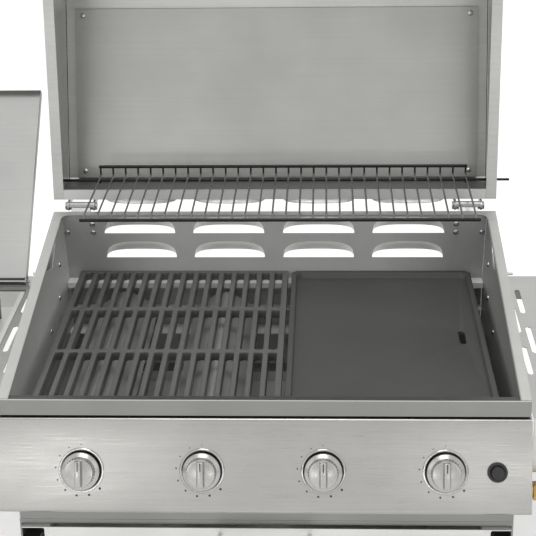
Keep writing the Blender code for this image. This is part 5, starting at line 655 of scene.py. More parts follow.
def make_finishes(colours):
    """Every finish of the grill, from the colours of its panel."""
    front_low, front_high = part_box("firebox_front_wall")
    pan_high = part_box("side_burner_pan")[1]
    brushed("brushed_steel", colours.sheet)
    brushed("upright_steel", colours.lid_end, (18.0, 18.0, 1500.0), metallic=0.6)
    seamed("lid_skin_steel", colours.sheet, joint=linear("#2B2B2A"))
    # The trough tone is painted shade and the hood tone is a painted highlight
    lid_wall("lid_wall_steel", colours.lid_wall, trough=linear("#474746"), hood=linear("#EDEDEB"))
    brushed("side_lid_steel", colours.side_lid, contrast=0.06, roughness=(0.34, 0.46))
    pan_steel("pan_steel", colours.pan, painted_shade_tone=linear("#4C4C4B"), rear=pan_high.y - PAN_REAR)
    brushed("panel_steel", colours.panel, contrast=0.07, roughness=(0.26, 0.36))
    brushed("liner_steel", colours.liner, contrast=0.05, roughness=(0.30, 0.40))
    brushed("rail_steel", colours.rail, contrast=0.04, roughness=(0.36, 0.46))
    front_wall("front_steel", colours.rail, colours.rim, painted_shade_tone=linear("#5C5C5B"),
               top=front_high.z - FRONT_FLANGE, face=front_low.y + FRONT_FOLD)
    brushed("tamer_steel", colours.tamer, (900.0, 18.0, 900.0), (0.34, 0.48), 0.10, metallic=0.35)
    brushed("tray_steel", colours.tray, contrast=0.05, metallic=0.25)
    side_wall("wall_steel", colours.wall, colours.rim)
    # The near-white ledge tone is painted light
    rear_wall("rear_steel", colours.rear, colours.rim, ledge=linear("#F2F2F0"))
    burner_tube("burner_steel", linear("#CFCDC7"), port=linear("#141414"), ceramic=linear("#D9D5CC"))
    cast("cast_iron", colours.grate, 0.0012, (0.34, 0.50), relief=0.30, coat=0.35)
    cast("griddle_enamel", colours.griddle, 0.0009, (0.50, 0.62), relief=0.16, coat=0.1)
    rack_wire("rack_wire", colours.wire, burnt=linear("#1E1E1D"))
    plain("black_wire", linear("#0D0D0D"), 0.0006, (0.34, 0.46), 0.10, Specular_IOR_Level=0.3)
    plain("chrome", colours.chrome, 0.0005, (0.14, 0.26), 0.04, Metallic=1.0)
    plain("hinge_steel", colours.hinge, 0.0006, (0.24, 0.36), 0.06, Metallic=1.0)
    plain("brass", linear("#B9985A"), 0.0006, (0.28, 0.42), 0.12, Metallic=1.0)
    brushed("knob_metal", colours.knob, (900.0, 900.0, 18.0), (0.24, 0.36), 0.08)
    plain("black_plastic", linear("#1C1C1C"), 0.0005, (0.38, 0.50), 0.15)
    plain("rubber", linear("#1E1E1D"), 0.0004, (0.75, 0.88), 0.30)
    plain("dial_white", linear("#E9E7E0"), 0.0006, (0.45, 0.55), 0.02)
    plain("mark_black", linear("#181818"), 0.0006, (0.45, 0.60), 0.05)


# Modelling tools

def pick(piece):
    """Makes a piece the only selected and the active object."""
    bpy.ops.object.select_all(action="DESELECT")
    piece.select_set(True)
    bpy.context.view_layer.objects.active = piece


def choose(piece, wanted):
    """Opens a piece in edit mode with only the points selected that pass a test of their place."""
    if piece.mode != "EDIT":
        pick(piece)
        bpy.ops.object.mode_set(mode="EDIT")
    bpy.ops.mesh.select_mode(type="VERT")
    bpy.ops.mesh.select_all(action="DESELECT")
    bpy.ops.object.mode_set(mode="OBJECT")
    for vertex in piece.data.vertices:
        vertex.select = wanted(vertex.co)
    bpy.ops.object.mode_set(mode="EDIT")


def stretch(piece, wanted, share, centre=(0.0, 0.0, 0.0)):
    """Scales the chosen points of a piece about a centre."""
    choose(piece, wanted)
    bpy.ops.transform.resize(value=share, center_override=centre)
    bpy.ops.object.mode_set(mode="OBJECT")


def apply(piece, kind, **settings):
    """Adds a modifier with its settings and applies it."""
    pick(piece)
    change = piece.modifiers.new(kind.lower(), kind)
    for name, value in settings.items():
        setattr(change, name, value)
    bpy.ops.object.modifier_apply(modifier=change.name)


def soften(piece, width, segments=2):
    """Rounds the sharp edges of a piece."""
    apply(piece, "BEVEL", width=width, segments=segments, limit_method="ANGLE", angle_limit=SHARP_ANGLE,
          use_clamp_overlap=True, miter_outer="MITER_ARC")


def settle(piece, name, finish, body, matrix=None, stands_for=()):
    """Gives a piece its place, name, finish and body, and hides the nodes that it stands for."""
    pick(piece)
    if matrix is not None:
        piece.matrix_world = matrix @ piece.matrix_world
    bpy.ops.object.transform_apply(location=True, rotation=True, scale=True)
    piece.name = piece.data.name = name
    piece.data.materials.clear()
    piece.data.materials.append(FINISH[finish])
    bpy.ops.object.shade_smooth_by_angle(angle=SMOOTH_ANGLE)
    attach(piece, body)
    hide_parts(*stands_for)


def lathe(name, profile, sides=32):
    """Turns a profile of radius and height about z: a circle extruded and scaled from ring to ring."""
    bpy.ops.object.select_all(action="DESELECT")
    radius, height = profile[0]
    bpy.ops.mesh.primitive_circle_add(vertices=sides, radius=radius, fill_type="NGON",
                                      location=(0.0, 0.0, height))
    piece = bpy.context.object
    bpy.ops.object.transform_apply(location=True, rotation=True, scale=True)
    bpy.ops.object.mode_set(mode="EDIT")
    bpy.ops.mesh.select_all(action="SELECT")
    bpy.ops.mesh.delete(type="ONLY_FACE")
    bpy.ops.mesh.select_all(action="SELECT")
    for next_radius, next_height in profile[1:]:
        bpy.ops.mesh.extrude_edges_move()
        bpy.ops.transform.translate(value=(0.0, 0.0, next_height - height))
        share = next_radius / radius
        bpy.ops.transform.resize(value=(share, share, 1.0), center_override=(0.0, 0.0, next_height))
        radius, height = next_radius, next_height
    if profile[-1] != profile[0]:
        bpy.ops.mesh.edge_face_add()
        first_radius, first_height = profile[0]
        choose(piece, lambda spot: abs(spot.z - first_height) < WELD
               and abs(hypot(spot.x, spot.y) - first_radius) < WELD)
        bpy.ops.mesh.edge_face_add()
    bpy.ops.object.mode_set(mode="OBJECT")
    weld(piece)
    piece.name = name
    return piece


def block(name, low, high):
    """A cube brought to two corners."""
    bpy.ops.object.select_all(action="DESELECT")
    middle = [(a + b) / 2 for a, b in zip(low, high)]
    size = [b - a for a, b in zip(low, high)]
    bpy.ops.mesh.primitive_cube_add(size=1.0, location=middle, scale=size)
    bpy.ops.object.transform_apply(location=True, rotation=True, scale=True)
    piece = bpy.context.object
    piece.name = name
    return piece


def sweep(name, points, radius, rings=2):
    """A round bar along a path: a curve with a bevel, made a mesh."""
    bpy.ops.object.select_all(action="DESELECT")
    bpy.ops.curve.primitive_nurbs_path_add()
    piece = bpy.context.object
    path = piece.data
    path.splines.clear()
    spline = path.splines.new("POLY")
    spline.points.add(len(points) - 1)
    for point, spot in zip(spline.points, points):
        point.co = (*spot, 1.0)
    path.bevel_depth = radius
    path.bevel_resolution = rings
    path.use_fill_caps = True
    pick(piece)
    bpy.ops.object.convert(target="MESH")
    piece = bpy.context.object
    weld(piece)
    piece.name = name
    return piece


def weld(piece):
    """Joins doubled points and turns every face outwards."""
    pick(piece)
    bpy.ops.object.mode_set(mode="EDIT")
    bpy.ops.mesh.select_all(action="SELECT")
    bpy.ops.mesh.remove_doubles(threshold=WELD)
    bpy.ops.mesh.normals_make_consistent(inside=False)
    bpy.ops.object.mode_set(mode="OBJECT")
    return piece


def rounded(corners, radius, steps=5):
    """A path whose inner corners are arcs."""
    path = [Vector(corners[0])]
    for before, here, after in zip(corners, corners[1:], corners[2:]):
        here = Vector(here)
        first, last = (Vector(before) - here).normalized(), (Vector(after) - here).normalized()
        half = first.angle(last) / 2
        centre = here + (first + last).normalized() * (radius / sin(half))
        start = here + first * (radius / tan(half)) - centre
        end = here + last * (radius / tan(half)) - centre
        path += [centre + start.lerp(end, step / steps).normalized() * radius for step in range(steps + 1)]
    return path + [Vector(corners[-1])]


def join(pieces, name):
    """Joins pieces into the first one."""
    bpy.ops.object.select_all(action="DESELECT")
    for piece in pieces:
        piece.select_set(True)
    bpy.context.view_layer.objects.active = pieces[0]
    bpy.ops.object.join()
    piece = bpy.context.object
    piece.name = name
    return piece


def copies(piece, matrices, name):
    """Copies a piece, each copy with its own mesh, and joins the copies."""
    made = []
    for matrix in matrices:
        pick(piece)
        bpy.ops.object.duplicate()
        twin = bpy.context.object
        twin.data.transform(matrix)
        made.append(twin)
    bpy.data.objects.remove(piece)
    return join(made, name)


def cut(piece, tool):
    """Cuts a tool out of a piece and removes it."""
    apply(piece, "BOOLEAN", operation="DIFFERENCE", solver="EXACT", object=tool)
    bpy.data.objects.remove(tool)


def bare_copy(node, name):
    """A copy of a node with its loose triangles joined into whole faces."""
    source = frame["nodes"][node]
    source.hide_set(False)
    pick(source)
    bpy.ops.object.duplicate()
    piece = bpy.context.object
    for key in [key for key in piece.keys() if key.startswith("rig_")]:
        del piece[key]
    piece.parent = None
    if piece.data.has_custom_normals:
        bpy.ops.mesh.customdata_custom_splitnormals_clear()
    bpy.ops.object.mode_set(mode="EDIT")
    bpy.ops.mesh.select_all(action="SELECT")
    bpy.ops.mesh.remove_doubles(threshold=WELD)
    bpy.ops.mesh.dissolve_limited(angle_limit=FLAT_ANGLE)
    bpy.ops.object.mode_set(mode="OBJECT")
    piece.name = name
    return piece


def dress(group):
    """Shows each node of a group as a copy with its finish, some with rounded edges."""
    for node, finish in DRESSED[group].items():
        piece = bare_copy(node, "shown_" + node)
        if node in EDGES:
            soften(piece, EDGES[node])
        settle(piece, "shown_" + node, finish, frame["nodes"][node]["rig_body"], stands_for=[node])


def facing(base, spot, way):
    """A place on a base frame, with its z axis turned about x to a direction."""
    return base @ Matrix.Translation(spot) @ Matrix.Rotation(atan2(-way.y, way.z), 4, "X")


def stadium(name, radius, length, low, high, sides=20):
    """A prism with round ends: a cylinder whose halves are moved apart."""
    bpy.ops.object.select_all(action="DESELECT")
    bpy.ops.mesh.primitive_cylinder_add(vertices=sides, radius=radius, depth=high - low,
                                        location=(0.0, 0.0, (high + low) / 2),
                                        rotation=(0.0, 0.0, pi / sides))
    piece = bpy.context.object
    bpy.ops.object.transform_apply(location=True, rotation=True, scale=True)
    shift = length / 2 - radius
    for side in (1, -1):
        choose(piece, lambda spot: spot.y * side > 0)
        bpy.ops.transform.translate(value=(0.0, side * shift, 0.0))
        bpy.ops.object.mode_set(mode="OBJECT")
    piece.name = name
    return piece


# Pieces

def make_grate(sizes):
    """Cast grate: a plate with three rows of round-ended slots that narrow downward, and rounded bars."""
    width = GRATE_RIGHT - GRATE_LEFT - 2 * GRATE_SIDE_BORDER
    depth = GRATE_REAR - GRATE_REAR_BORDER - GRATE_FRONT - GRATE_FRONT_BORDER
    pitch = (width + GRATE_BAR) / GRATE_COLUMNS
    slot = pitch - GRATE_BAR
    row = (depth - (GRATE_ROWS - 1) * GRATE_CROSSBAR) / GRATE_ROWS
    plate = block("grate", (GRATE_LEFT, GRATE_FRONT, -GRATE_THICKNESS), (GRATE_RIGHT, GRATE_REAR, 0.0))
    tool = stadium("slot", slot * SLOT_RADIUS_SHARE, row - SLOT_SHORTER, -GRATE_THICKNESS - SLOT_CLEAR,
                   SLOT_CLEAR)
    stretch(tool, lambda spot: spot.z > 0, SLOT_DRAFT)
    left = GRATE_LEFT + GRATE_SIDE_BORDER + slot / 2
    front = GRATE_FRONT + GRATE_FRONT_BORDER + row / 2
    spots = [Matrix.Translation((left + column * pitch, front + line * (row + GRATE_CROSSBAR), 0.0))
             for column in range(GRATE_COLUMNS) for line in range(GRATE_ROWS)]
    cut(plate, copies(tool, spots, "slots"))
    soften(plate, sizes.bar_edge, 4)
    settle(plate, "grate", "cast_iron", "firebox", GRILL, ["cast_grate"])


def lay(bar, start):
    """Lays a turned bar along x from its left end."""
    bar.data.transform(Matrix.Translation(start) @ Matrix.Rotation(pi / 2, 4, "Y"))
    return bar


def make_rack(sizes):
    """Warming rack of welded wires, with its rails and the loops round the rod."""
    low = (0.0, RACK_FRONT - FRONT_RAIL_AHEAD, RACK_HEIGHT - FRONT_RAIL_DROP)
    high = (0.0, RACK_REAR + REAR_RAIL_BEHIND, RACK_HEIGHT + REAR_RAIL_RISE)
    corners = [low, (0.0, RACK_FRONT, RACK_HEIGHT), (0.0, RACK_REAR, RACK_HEIGHT), high]
    wire = sweep("wire", rounded(corners, RACK_BEND), sizes.wire / 2)
    places = [RACK_MIDDLE + (index - (RACK_WIRES - 1) / 2) * RACK_PITCH for index in range(RACK_WIRES)]
    wires = copies(wire, [Matrix.Translation((place, 0.0, 0.0)) for place in places], "wires")
    settle(wires, "rack_wires", "rack_wire", "rack", GRILL, ["warming_rack"])
    rails = []
    for spot, reach in ((low, FRONT_RAIL_REACH), (high, REAR_RAIL_REACH)):
        left = places[0] - reach
        length = places[-1] + reach - left
        rings = ((RAIL_TIP, 0.0), (RAIL_RADIUS, RAIL_CHAMFER), (RAIL_RADIUS, length - RAIL_CHAMFER),
                 (RAIL_TIP, length))
        rails.append(lay(lathe("rail", rings, 16), (left, *spot[1:])))
    for place in (places[0], places[-1]):
        bpy.ops.object.select_all(action="DESELECT")
        bpy.ops.mesh.primitive_torus_add(major_radius=LOOP_RADIUS, minor_radius=LOOP_WIRE, major_segments=32,
                                         minor_segments=10, location=(place, *ROD_START[1:]),
                                         rotation=(0.0, pi / 2, 0.0))
        rails.append(bpy.context.object)
    settle(join(rails, "rack_rails"), "rack_rails", "black_wire", "rack", GRILL)
    rod = lay(lathe("rod", ROD_RINGS, 16), ROD_START)
    settle(rod, "rod", "black_wire", "lid", GRILL, ["rack_rod"])


def louvre_hood(sizes):
    """Pressed hood over one window: a quarter of a flattened ball with full shoulders, whose free edge
    arches upward between two ends on the cut line."""
    bpy.ops.object.select_all(action="DESELECT")
    bpy.ops.mesh.primitive_uv_sphere_add(segments=LOUVRE_SEGMENTS, ring_count=LOUVRE_SEGMENTS // 2,
                                         radius=1.0, rotation=(0.0, pi / 2, 0.0))
    hood = bpy.context.object
    bpy.ops.object.transform_apply(location=True, rotation=True, scale=True)
    bpy.ops.object.mode_set(mode="EDIT")
    for normal in ((0.0, 1.0, 0.0), (0.0, 0.0, 1.0)):
        bpy.ops.mesh.select_all(action="SELECT")
        bpy.ops.mesh.bisect(plane_co=(0.0, 0.0, 0.0), plane_no=normal, clear_inner=True)
    bpy.ops.object.mode_set(mode="OBJECT")
    rise = sizes.louvre_height - LOUVRE_MOUTH
    rings = sorted({round(vertex.co.x, 3) for vertex in hood.data.vertices})
    for ring in rings:
        full = max(0.0, 1.0 - abs(ring) ** LOUVRE_FULLNESS) ** (1 / LOUVRE_FULLNESS)
        swell = full / max(0.001, sqrt(max(0.0, 1.0 - ring * ring)))
        choose(hood, lambda spot: abs(spot.x - ring) < 0.002)
        bpy.ops.transform.resize(value=(1.0, swell, swell), center_override=(ring, 0.0, 0.0))
        bpy.ops.transform.translate(value=(0.0, 0.0, -(1.0 - full) * LOUVRE_MOUTH / rise))
    bpy.ops.mesh.select_all(action="SELECT")
    bpy.ops.transform.resize(value=(sizes.louvre_width / 2, sizes.louvre_depth, rise),
                             center_override=(0.0, 0.0, 0.0))
    bpy.ops.object.mode_set(mode="OBJECT")
    return hood


def louvre_window(hood):
    """Cutter for the window under a hood: the hood's outline on the sheet, filled and extruded."""
    pick(hood)
    bpy.ops.object.duplicate()
    window = bpy.context.object
    choose(window, lambda spot: spot.y > WELD)
    bpy.ops.mesh.delete(type="VERT")
    bpy.ops.mesh.select_all(action="SELECT")
    bpy.ops.mesh.edge_face_add()
    bpy.ops.transform.translate(value=(0.0, -WINDOW_HALF_DEPTH, 0.0))
    bpy.ops.mesh.extrude_region_move(TRANSFORM_OT_translate={"value": (0.0, 2 * WINDOW_HALF_DEPTH, 0.0)})
    bpy.ops.object.mode_set(mode="OBJECT")
    return weld(window)


def make_louvred(node, name, finish, matrix, rows, low, high, sizes):
    """A rear panel whose louvred band is cut out of the node's copy and made anew with fine louvres."""
    panel = bare_copy(node, name)
    panel.data.transform(matrix.inverted())
    cut(panel, block("band", (-BAND_HALF_WIDTH, BAND_FRONT, low), (BAND_HALF_WIDTH, BAND_REAR, high)))
    band = block("band", (-BAND_HALF_WIDTH, 0.0, low), (BAND_HALF_WIDTH, SHEET, high))
    spots = [Matrix.Translation((place, 0.0, height)) for height in rows for place in LOUVRE_PLACES]
    hood = louvre_hood(sizes)
    cut(band, copies(louvre_window(hood), spots, "windows"))
    apply(hood, "SOLIDIFY", thickness=THIN_SHEET, offset=1.0, use_even_offset=False)
    hood.data.transform(Matrix.Translation((0.0, HOOD_SHIFT, 0.0)))
    body = frame["nodes"][node]["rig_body"]
    piece = join([panel, band, copies(hood, spots, "hoods")], name)
    settle(piece, name, finish, body, matrix, [node])


def make_rear_panels(sizes):
    """The firebox's and the lid's rear panels."""
    upper, lower = [(height - REAR_TOP_HEIGHT) / cos(REAR_LEAN) for height in LOUVRE_ROWS]
    make_louvred("firebox_rear_panel", "rear_wall", "rear_steel", REAR, (upper, lower), lower - BAND_BELOW,
                 upper + BAND_ABOVE, sizes)
    lid_frame = LID @ Matrix.Translation((0.0, LID_REAR_FACE - SHEET, 0.0))
    make_louvred("lid_rear_panel", "lid_rear_wall", "lid_wall_steel", lid_frame, (LID_LOUVRE_ROW,),
                 LID_BAND_LOW, LID_BAND_HIGH, sizes)


def screw_places():
    """The place and the direction of each screw, on the firebox and on the lid."""
    firebox, lid = [], []
    turn = LID.to_3x3()
    inward = Vector((0.0, -cos(REAR_LEAN), -sin(REAR_LEAN)))
    slope = atan2(LID_KNEE_HEIGHT - LID_REAR_TOP, LID_KNEE_REACH + LID_REAR_FACE)
    under_liner = turn @ Vector((0.0, -sin(slope), -cos(slope)))
    for side in (1, -1):
        for depth, height in WALL_SCREWS:
            spot = GRILL @ Vector((side * WALL_HALF_WIDTH, depth, height))
            firebox.append((spot, Vector((-side, 0.0, 0.0))))
        for across, height in CORNER_SCREWS:
            depth = REAR_TOP_DEPTH + (REAR_TOP_HEIGHT - height) * tan(REAR_LEAN)
            firebox.append((GRILL @ Vector((side * across, depth, height)), inward))
        for reach in LINER_SCREW_REACHES:
            top = LID_REAR_TOP + (reach + LID_REAR_FACE) * tan(slope)
            height = top - (LINER_DROP + THIN_SHEET) / cos(slope)
            lid.append((LID @ Vector((side * LINER_SCREW_PLACE, -reach, height)), under_liner))
        across, height = LIP_SCREW
        spot = LID @ Vector((side * across, LID_REAR_FACE - SHEET, height))
        lid.append((spot, turn @ Vector((0.0, -1.0, 0.0))))
    return {"firebox": firebox, "lid": lid}


def make_screws():
    """Domed screws with a cross recess, over the plain heads of the part."""
    dome = lathe("screw", SCREW_RINGS, 24)
    for across, deep in ((RECESS_HALF_LENGTH, RECESS_HALF_WIDTH), (RECESS_HALF_WIDTH, RECESS_HALF_LENGTH)):
        cut(dome, block("recess", (-across, -deep, RECESS_FLOOR), (across, deep, RECESS_TOP)))
    upward = Vector((0.0, 0.0, 1.0))
    for body, places in screw_places().items():
        pick(dome)
        bpy.ops.object.duplicate()
        turns = [Matrix.Translation(spot) @ upward.rotation_difference(way).to_matrix().to_4x4()
                 for spot, way in places]
        name = body + "_screws"
        settle(copies(bpy.context.object, turns, name), name, "chrome", body)
    bpy.data.objects.remove(dome)


def knob_body():
    """A knob's turned skirt and fluted body with its tapered grip."""
    skirt = [(radius, KNOB_LOW + height) for radius, height in KNOB_SKIRT_RINGS]
    crown = [(radius, KNOB_CROWN + height) for radius, height in KNOB_CROWN_RINGS]
    knob = lathe("knob", skirt + crown, 48)
    grip = block("grip", (-GRIP_HALF_WIDTH, -GRIP_HALF_LENGTH, KNOB_CROWN - GRIP_ROOT),
                 (GRIP_HALF_WIDTH, GRIP_HALF_LENGTH, KNOB_TOP))
    stretch(grip, lambda spot: spot.z > KNOB_CROWN, GRIP_TAPER, (0.0, 0.0, KNOB_TOP))
    soften(grip, GRIP_EDGE, 3)
    flute = lathe("flute", [(FLUTE_RADIUS, FLUTE_LOW), (FLUTE_RADIUS, FLUTE_TOP)], 10)
    turns = [Matrix.Rotation(2 * pi * step / FLUTES, 4, "Z") @ Matrix.Translation((FLUTE_RING, 0.0, 0.0))
             for step in range(FLUTES)]
    return join([knob, grip, copies(flute, turns, "flutes")], "knob")


def flame_dots():
    """Dots that grow round a bezel from off to full."""
    dot = lathe("dot", DOT_RINGS, 16)
    places = []
    for step in range(DOTS):
        angle = radians(DOT_START + DOT_SWEEP * step / (DOTS - 1))
        size = DOT_SMALLEST + DOT_GROWTH * step / (DOTS - 1)
        places.append(Matrix.Rotation(angle, 4, "Z") @ Matrix.Translation((DOT_RING, 0.0, 0.0))
                      @ Matrix.Diagonal((size, size, 1.0, 1.0)))
    return copies(dot, places, "dots")


def make_knobs():
    """Knobs with a fluted body, a grip and a pointer, on chromed bezels with dots for the flame."""
    for label, (seat, way) in zip(KNOB_LABELS, SEATS):
        turn = facing(GRILL, seat, way)
        name = "knob_" + label
        settle(knob_body(), "shown_" + name, "knob_metal", name, turn, [name])
        line = block("line", (-POINTER_HALF_WIDTH, POINTER_START, KNOB_TOP - POINTER_SUNK),
                     (POINTER_HALF_WIDTH, POINTER_END, KNOB_TOP + POINTER_PROUD))
        soften(line, POINTER_EDGE, 1)
        settle(line, "pointer_" + label, "mark_black", name, turn)
        settle(lathe("bezel", BEZEL_RINGS, 64), "bezel_" + label, "chrome", "firebox", turn)
        settle(flame_dots(), "flame_dots_" + label, "mark_black", "firebox", turn)


def make_igniter():
    """Igniter button with a dished cap, in its ringed collar."""
    turn = facing(GRILL, Vector((IGNITER_PLACE, FASCIA_DEPTH, FASCIA_HEIGHT)), FASCIA_NORMAL)
    button = lathe("button", BUTTON_RINGS, 40)
    settle(button, "shown_button", "black_plastic", "igniter", turn, ["igniter_button"])
    collar = lathe("collar", COLLAR_RINGS, 40)
    settle(collar, "shown_collar", "black_plastic", "firebox", turn, ["igniter_collar"])


def make_handle():
    """Handle bar with domed ends, on two necked posts."""
    dome = ((HANDLE_RADIUS - HANDLE_DOME, 0.0), (HANDLE_RADIUS - HANDLE_DOME * 0.3, HANDLE_DOME * 0.3),
            (HANDLE_RADIUS, HANDLE_DOME))
    rings = [(radius, -HANDLE_HALF_LENGTH + inset) for radius, inset in dome]
    rings += [(radius, HANDLE_HALF_LENGTH - inset) for radius, inset in reversed(dome)]
    bar = lathe("bar", rings, 48)
    place = (LID @ Matrix.Translation((0.0, -LID_FRONT_REACH - HANDLE_STAND, HANDLE_HEIGHT))
             @ Matrix.Rotation(pi / 2, 4, "Y"))
    settle(bar, "shown_handle", "brushed_steel", "lid", place, ["lid_handle"])
    for side, label in ((1, "right"), (-1, "left")):
        post = lathe("post", POST_RINGS, 36)
        spot = (side * POST_PLACE, -LID_FRONT_REACH - POST_GAP, HANDLE_HEIGHT)
        turn = LID @ Matrix.Translation(spot) @ Matrix.Rotation(pi / 2, 4, "X")
        settle(post, f"shown_{label}_post", "chrome", "lid", turn, [f"lid_{label}_post"])


def scale_marks():
    """Ticks and figures round the dial."""
    marks = []
    for step in range(TICKS):
        length = TICK_LONG if step % TICKS_A_FIGURE == 0 else TICK_SHORT
        tick = block("tick", (TICK_RING - length, -TICK_HALF_WIDTH, TICK_LOW),
                     (TICK_RING, TICK_HALF_WIDTH, TICK_TOP))
        tick.data.transform(Matrix.Rotation(radians(SCALE_START - SCALE_SWEEP * step / (TICKS - 1)), 4, "Z"))
        marks.append(tick)
    for number in range(FIGURES):
        angle = radians(SCALE_START - SCALE_SWEEP * number / (FIGURES - 1))
        bpy.ops.object.select_all(action="DESELECT")
        bpy.ops.object.text_add(location=(FIGURE_RING * cos(angle), FIGURE_RING * sin(angle), DIAL_FACE))
        text = bpy.context.object
        text.data.body = str(number * FIGURE_STEP)
        text.data.size = FIGURE_SIZE
        text.data.extrude = FIGURE_DEPTH
        text.data.align_x = "CENTER"
        text.data.align_y = "CENTER"
        bpy.ops.object.convert(target="MESH")
        bpy.ops.object.transform_apply(location=True, rotation=True, scale=True)
        marks.append(bpy.context.object)
    return join(marks, "marks")


def make_gauge():
    """Thermometer with a chromed rim, a pale dial with ticks and figures, and a needle."""
    knee = Vector((0.0, -LID_KNEE_REACH, LID_KNEE_HEIGHT))
    front = Vector((0.0, -LID_FRONT_REACH, LID_FRONT_HEIGHT))
    fall = front - knee
    turn = facing(LID, knee.lerp(front, GAUGE_SHARE), Vector((0.0, fall.z, -fall.y)))
    settle(lathe("case", CASE_RINGS, 64), "gauge_case", "chrome", "lid", turn, ["lid_thermometer"])
    settle(lathe("dial", DIAL_RINGS, 64), "gauge_dial", "dial_white", "lid", turn)
    settle(scale_marks(), "gauge_marks", "mark_black", "lid", turn)
    needle = block("needle", (-NEEDLE_TAIL, -NEEDLE_HALF_WIDTH, NEEDLE_LOW),
                   (NEEDLE_LENGTH, NEEDLE_HALF_WIDTH, NEEDLE_TOP))
    stretch(needle, lambda spot: spot.x > 0, NEEDLE_TAPER)
    needle.data.transform(Matrix.Rotation(radians(SCALE_START), 4, "Z"))
    hub = lathe("hub", HUB_RINGS, 20)
    settle(join([needle, hub], "needle"), "gauge_needle", "mark_black", "lid", turn)


def make_feet():
    """Rubber feet with a stepped pad and a chamfer at the ground."""
    for side in ("right", "left"):
        for end in ("front", "rear"):
            node = f"foot_{end}_{side}"
            low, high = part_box(node)
            middle = (low + high) / 2
            foot = lathe("foot", [*FOOT_RINGS, (FOOT_NECK, high.z)], 40)
            place = Matrix.Translation((middle.x, middle.y, 0.0))
            settle(foot, "shown_" + node, "rubber", "firebox", place, [node])


def seen_rays(tree):
    """One where a ray comes from the camera, a gloss or a glass."""
    rays = add(tree, "ShaderNodeLightPath").outputs
    seen = add(tree, "ShaderNodeMath", {0: rays["Is Camera Ray"], 1: rays["Is Glossy Ray"]},
               operation="MAXIMUM").outputs[0]
    return add(tree, "ShaderNodeMath", {0: seen, 1: rays["Is Transmission Ray"]},
               operation="MAXIMUM").outputs[0]


def make_floor():
    """Pale floor that looks white and keeps the shadow."""
    bpy.ops.object.select_all(action="DESELECT")
    bpy.ops.mesh.primitive_plane_add(size=FLOOR_SIZE)
    floor = bpy.context.object
    floor.name = "floor"
    tree, shader, place = new_finish("floor_paint", Roughness=0.9)
    paint = add(tree, "ShaderNodeTexNoise", {"Vector": place, "Scale": 3.0, "Detail": 2.0}).outputs["Fac"]
    tone = add(tree, "ShaderNodeMix", {"Factor": paint, 6: shade_of(linear("#F3F3F2")),
                                       7: shade_of(linear("#F0F0EF"))}, data_type="RGBA").outputs[2]
    glow = add(tree, "ShaderNodeMath", {0: seen_rays(tree), 1: FLOOR_GLOW}, operation="MULTIPLY").outputs[0]
    shader.inputs["Emission Color"].default_value = (1.0, 1.0, 1.0, 1.0)
    tree.links.new(tone, shader.inputs["Base Color"])
    tree.links.new(glow, shader.inputs["Emission Strength"])
    floor.data.materials.append(FINISH["floor_paint"])


def make_stage():
    """The floor, white surroundings, soft lamps and the camera."""
    scene = bpy.context.scene
    scene.view_settings.view_transform = "Standard"
    make_floor()
    world = bpy.data.worlds.new("studio")
    world.use_nodes = True
    scene.world = world
    tree = world.node_tree
    level = add(tree, "ShaderNodeMix", {"Factor": seen_rays(tree), 6: (0.60, 0.60, 0.60, 1.0),
                                        7: (1.0, 1.0, 1.0, 1.0)}, data_type="RGBA").outputs[2]
    back = tree.nodes["Background"]
    back.inputs["Strength"].default_value = 1.0
    tree.links.new(level, back.inputs["Color"])
    for name, (spot, size, power) in LAMPS.items():
        lamp = bpy.data.lights.new(name, "AREA")
        lamp.shape = "SQUARE"
        lamp.size = size
        lamp.energy = power
        made = bpy.data.objects.new(name, lamp)
        scene.collection.objects.link(made)
        made.location = spot
        made.rotation_euler = (LAMP_TARGET - Vector(spot)).to_track_quat("-Z", "Y").to_euler()
    camera = bpy.data.cameras.new("camera")
    camera.sensor_width = 36.0
    camera.lens = CAMERA_LENS
    made = bpy.data.objects.new("camera", camera)
    scene.collection.objects.link(made)
    ahead = Vector((sin(CAMERA_YAW) * cos(CAMERA_PITCH), cos(CAMERA_YAW) * cos(CAMERA_PITCH),
                    -sin(CAMERA_PITCH)))
    right = Vector((cos(CAMERA_YAW), -sin(CAMERA_YAW), 0.0))
    down = ahead.cross(right)
    across = cos(CAMERA_ROLL) * right + sin(CAMERA_ROLL) * down
    below = -sin(CAMERA_ROLL) * right + cos(CAMERA_ROLL) * down
    turn = Matrix((across, -below, -ahead)).transposed().to_4x4()
    made.matrix_world = Matrix.Translation(CAMERA_PLACE) @ turn
    scene.camera = made


# Sizes and colours that a user would change

def size_of(name, description, default):
    """A length of the panel."""
    return FloatProperty(name=name, description=description, default=default, min=0.0, unit="LENGTH",
                         precision=4)


def colour_of(name, description, code):
    """A colour of the panel."""
    return FloatVectorProperty(name=name, description=description, default=linear(code), size=3,
                               min=0.0, max=1.0, subtype="COLOR")


class GrillSizes(bpy.types.PropertyGroup):
    """Sizes of the fine pieces."""
    bar_edge: size_of("Bar edge", "Rounding of the grate's bars", 0.0022)
    wire: size_of("Wire", "Diameter of the rack's wires", 0.0030)
    louvre_width: size_of("Louvre width", "Width of a louvre's window", 0.111)
    louvre_height: size_of("Louvre height", "Height of a louvre's dent", 0.0306)
    louvre_depth: size_of("Louvre depth", "How far a hood stands out", 0.012)


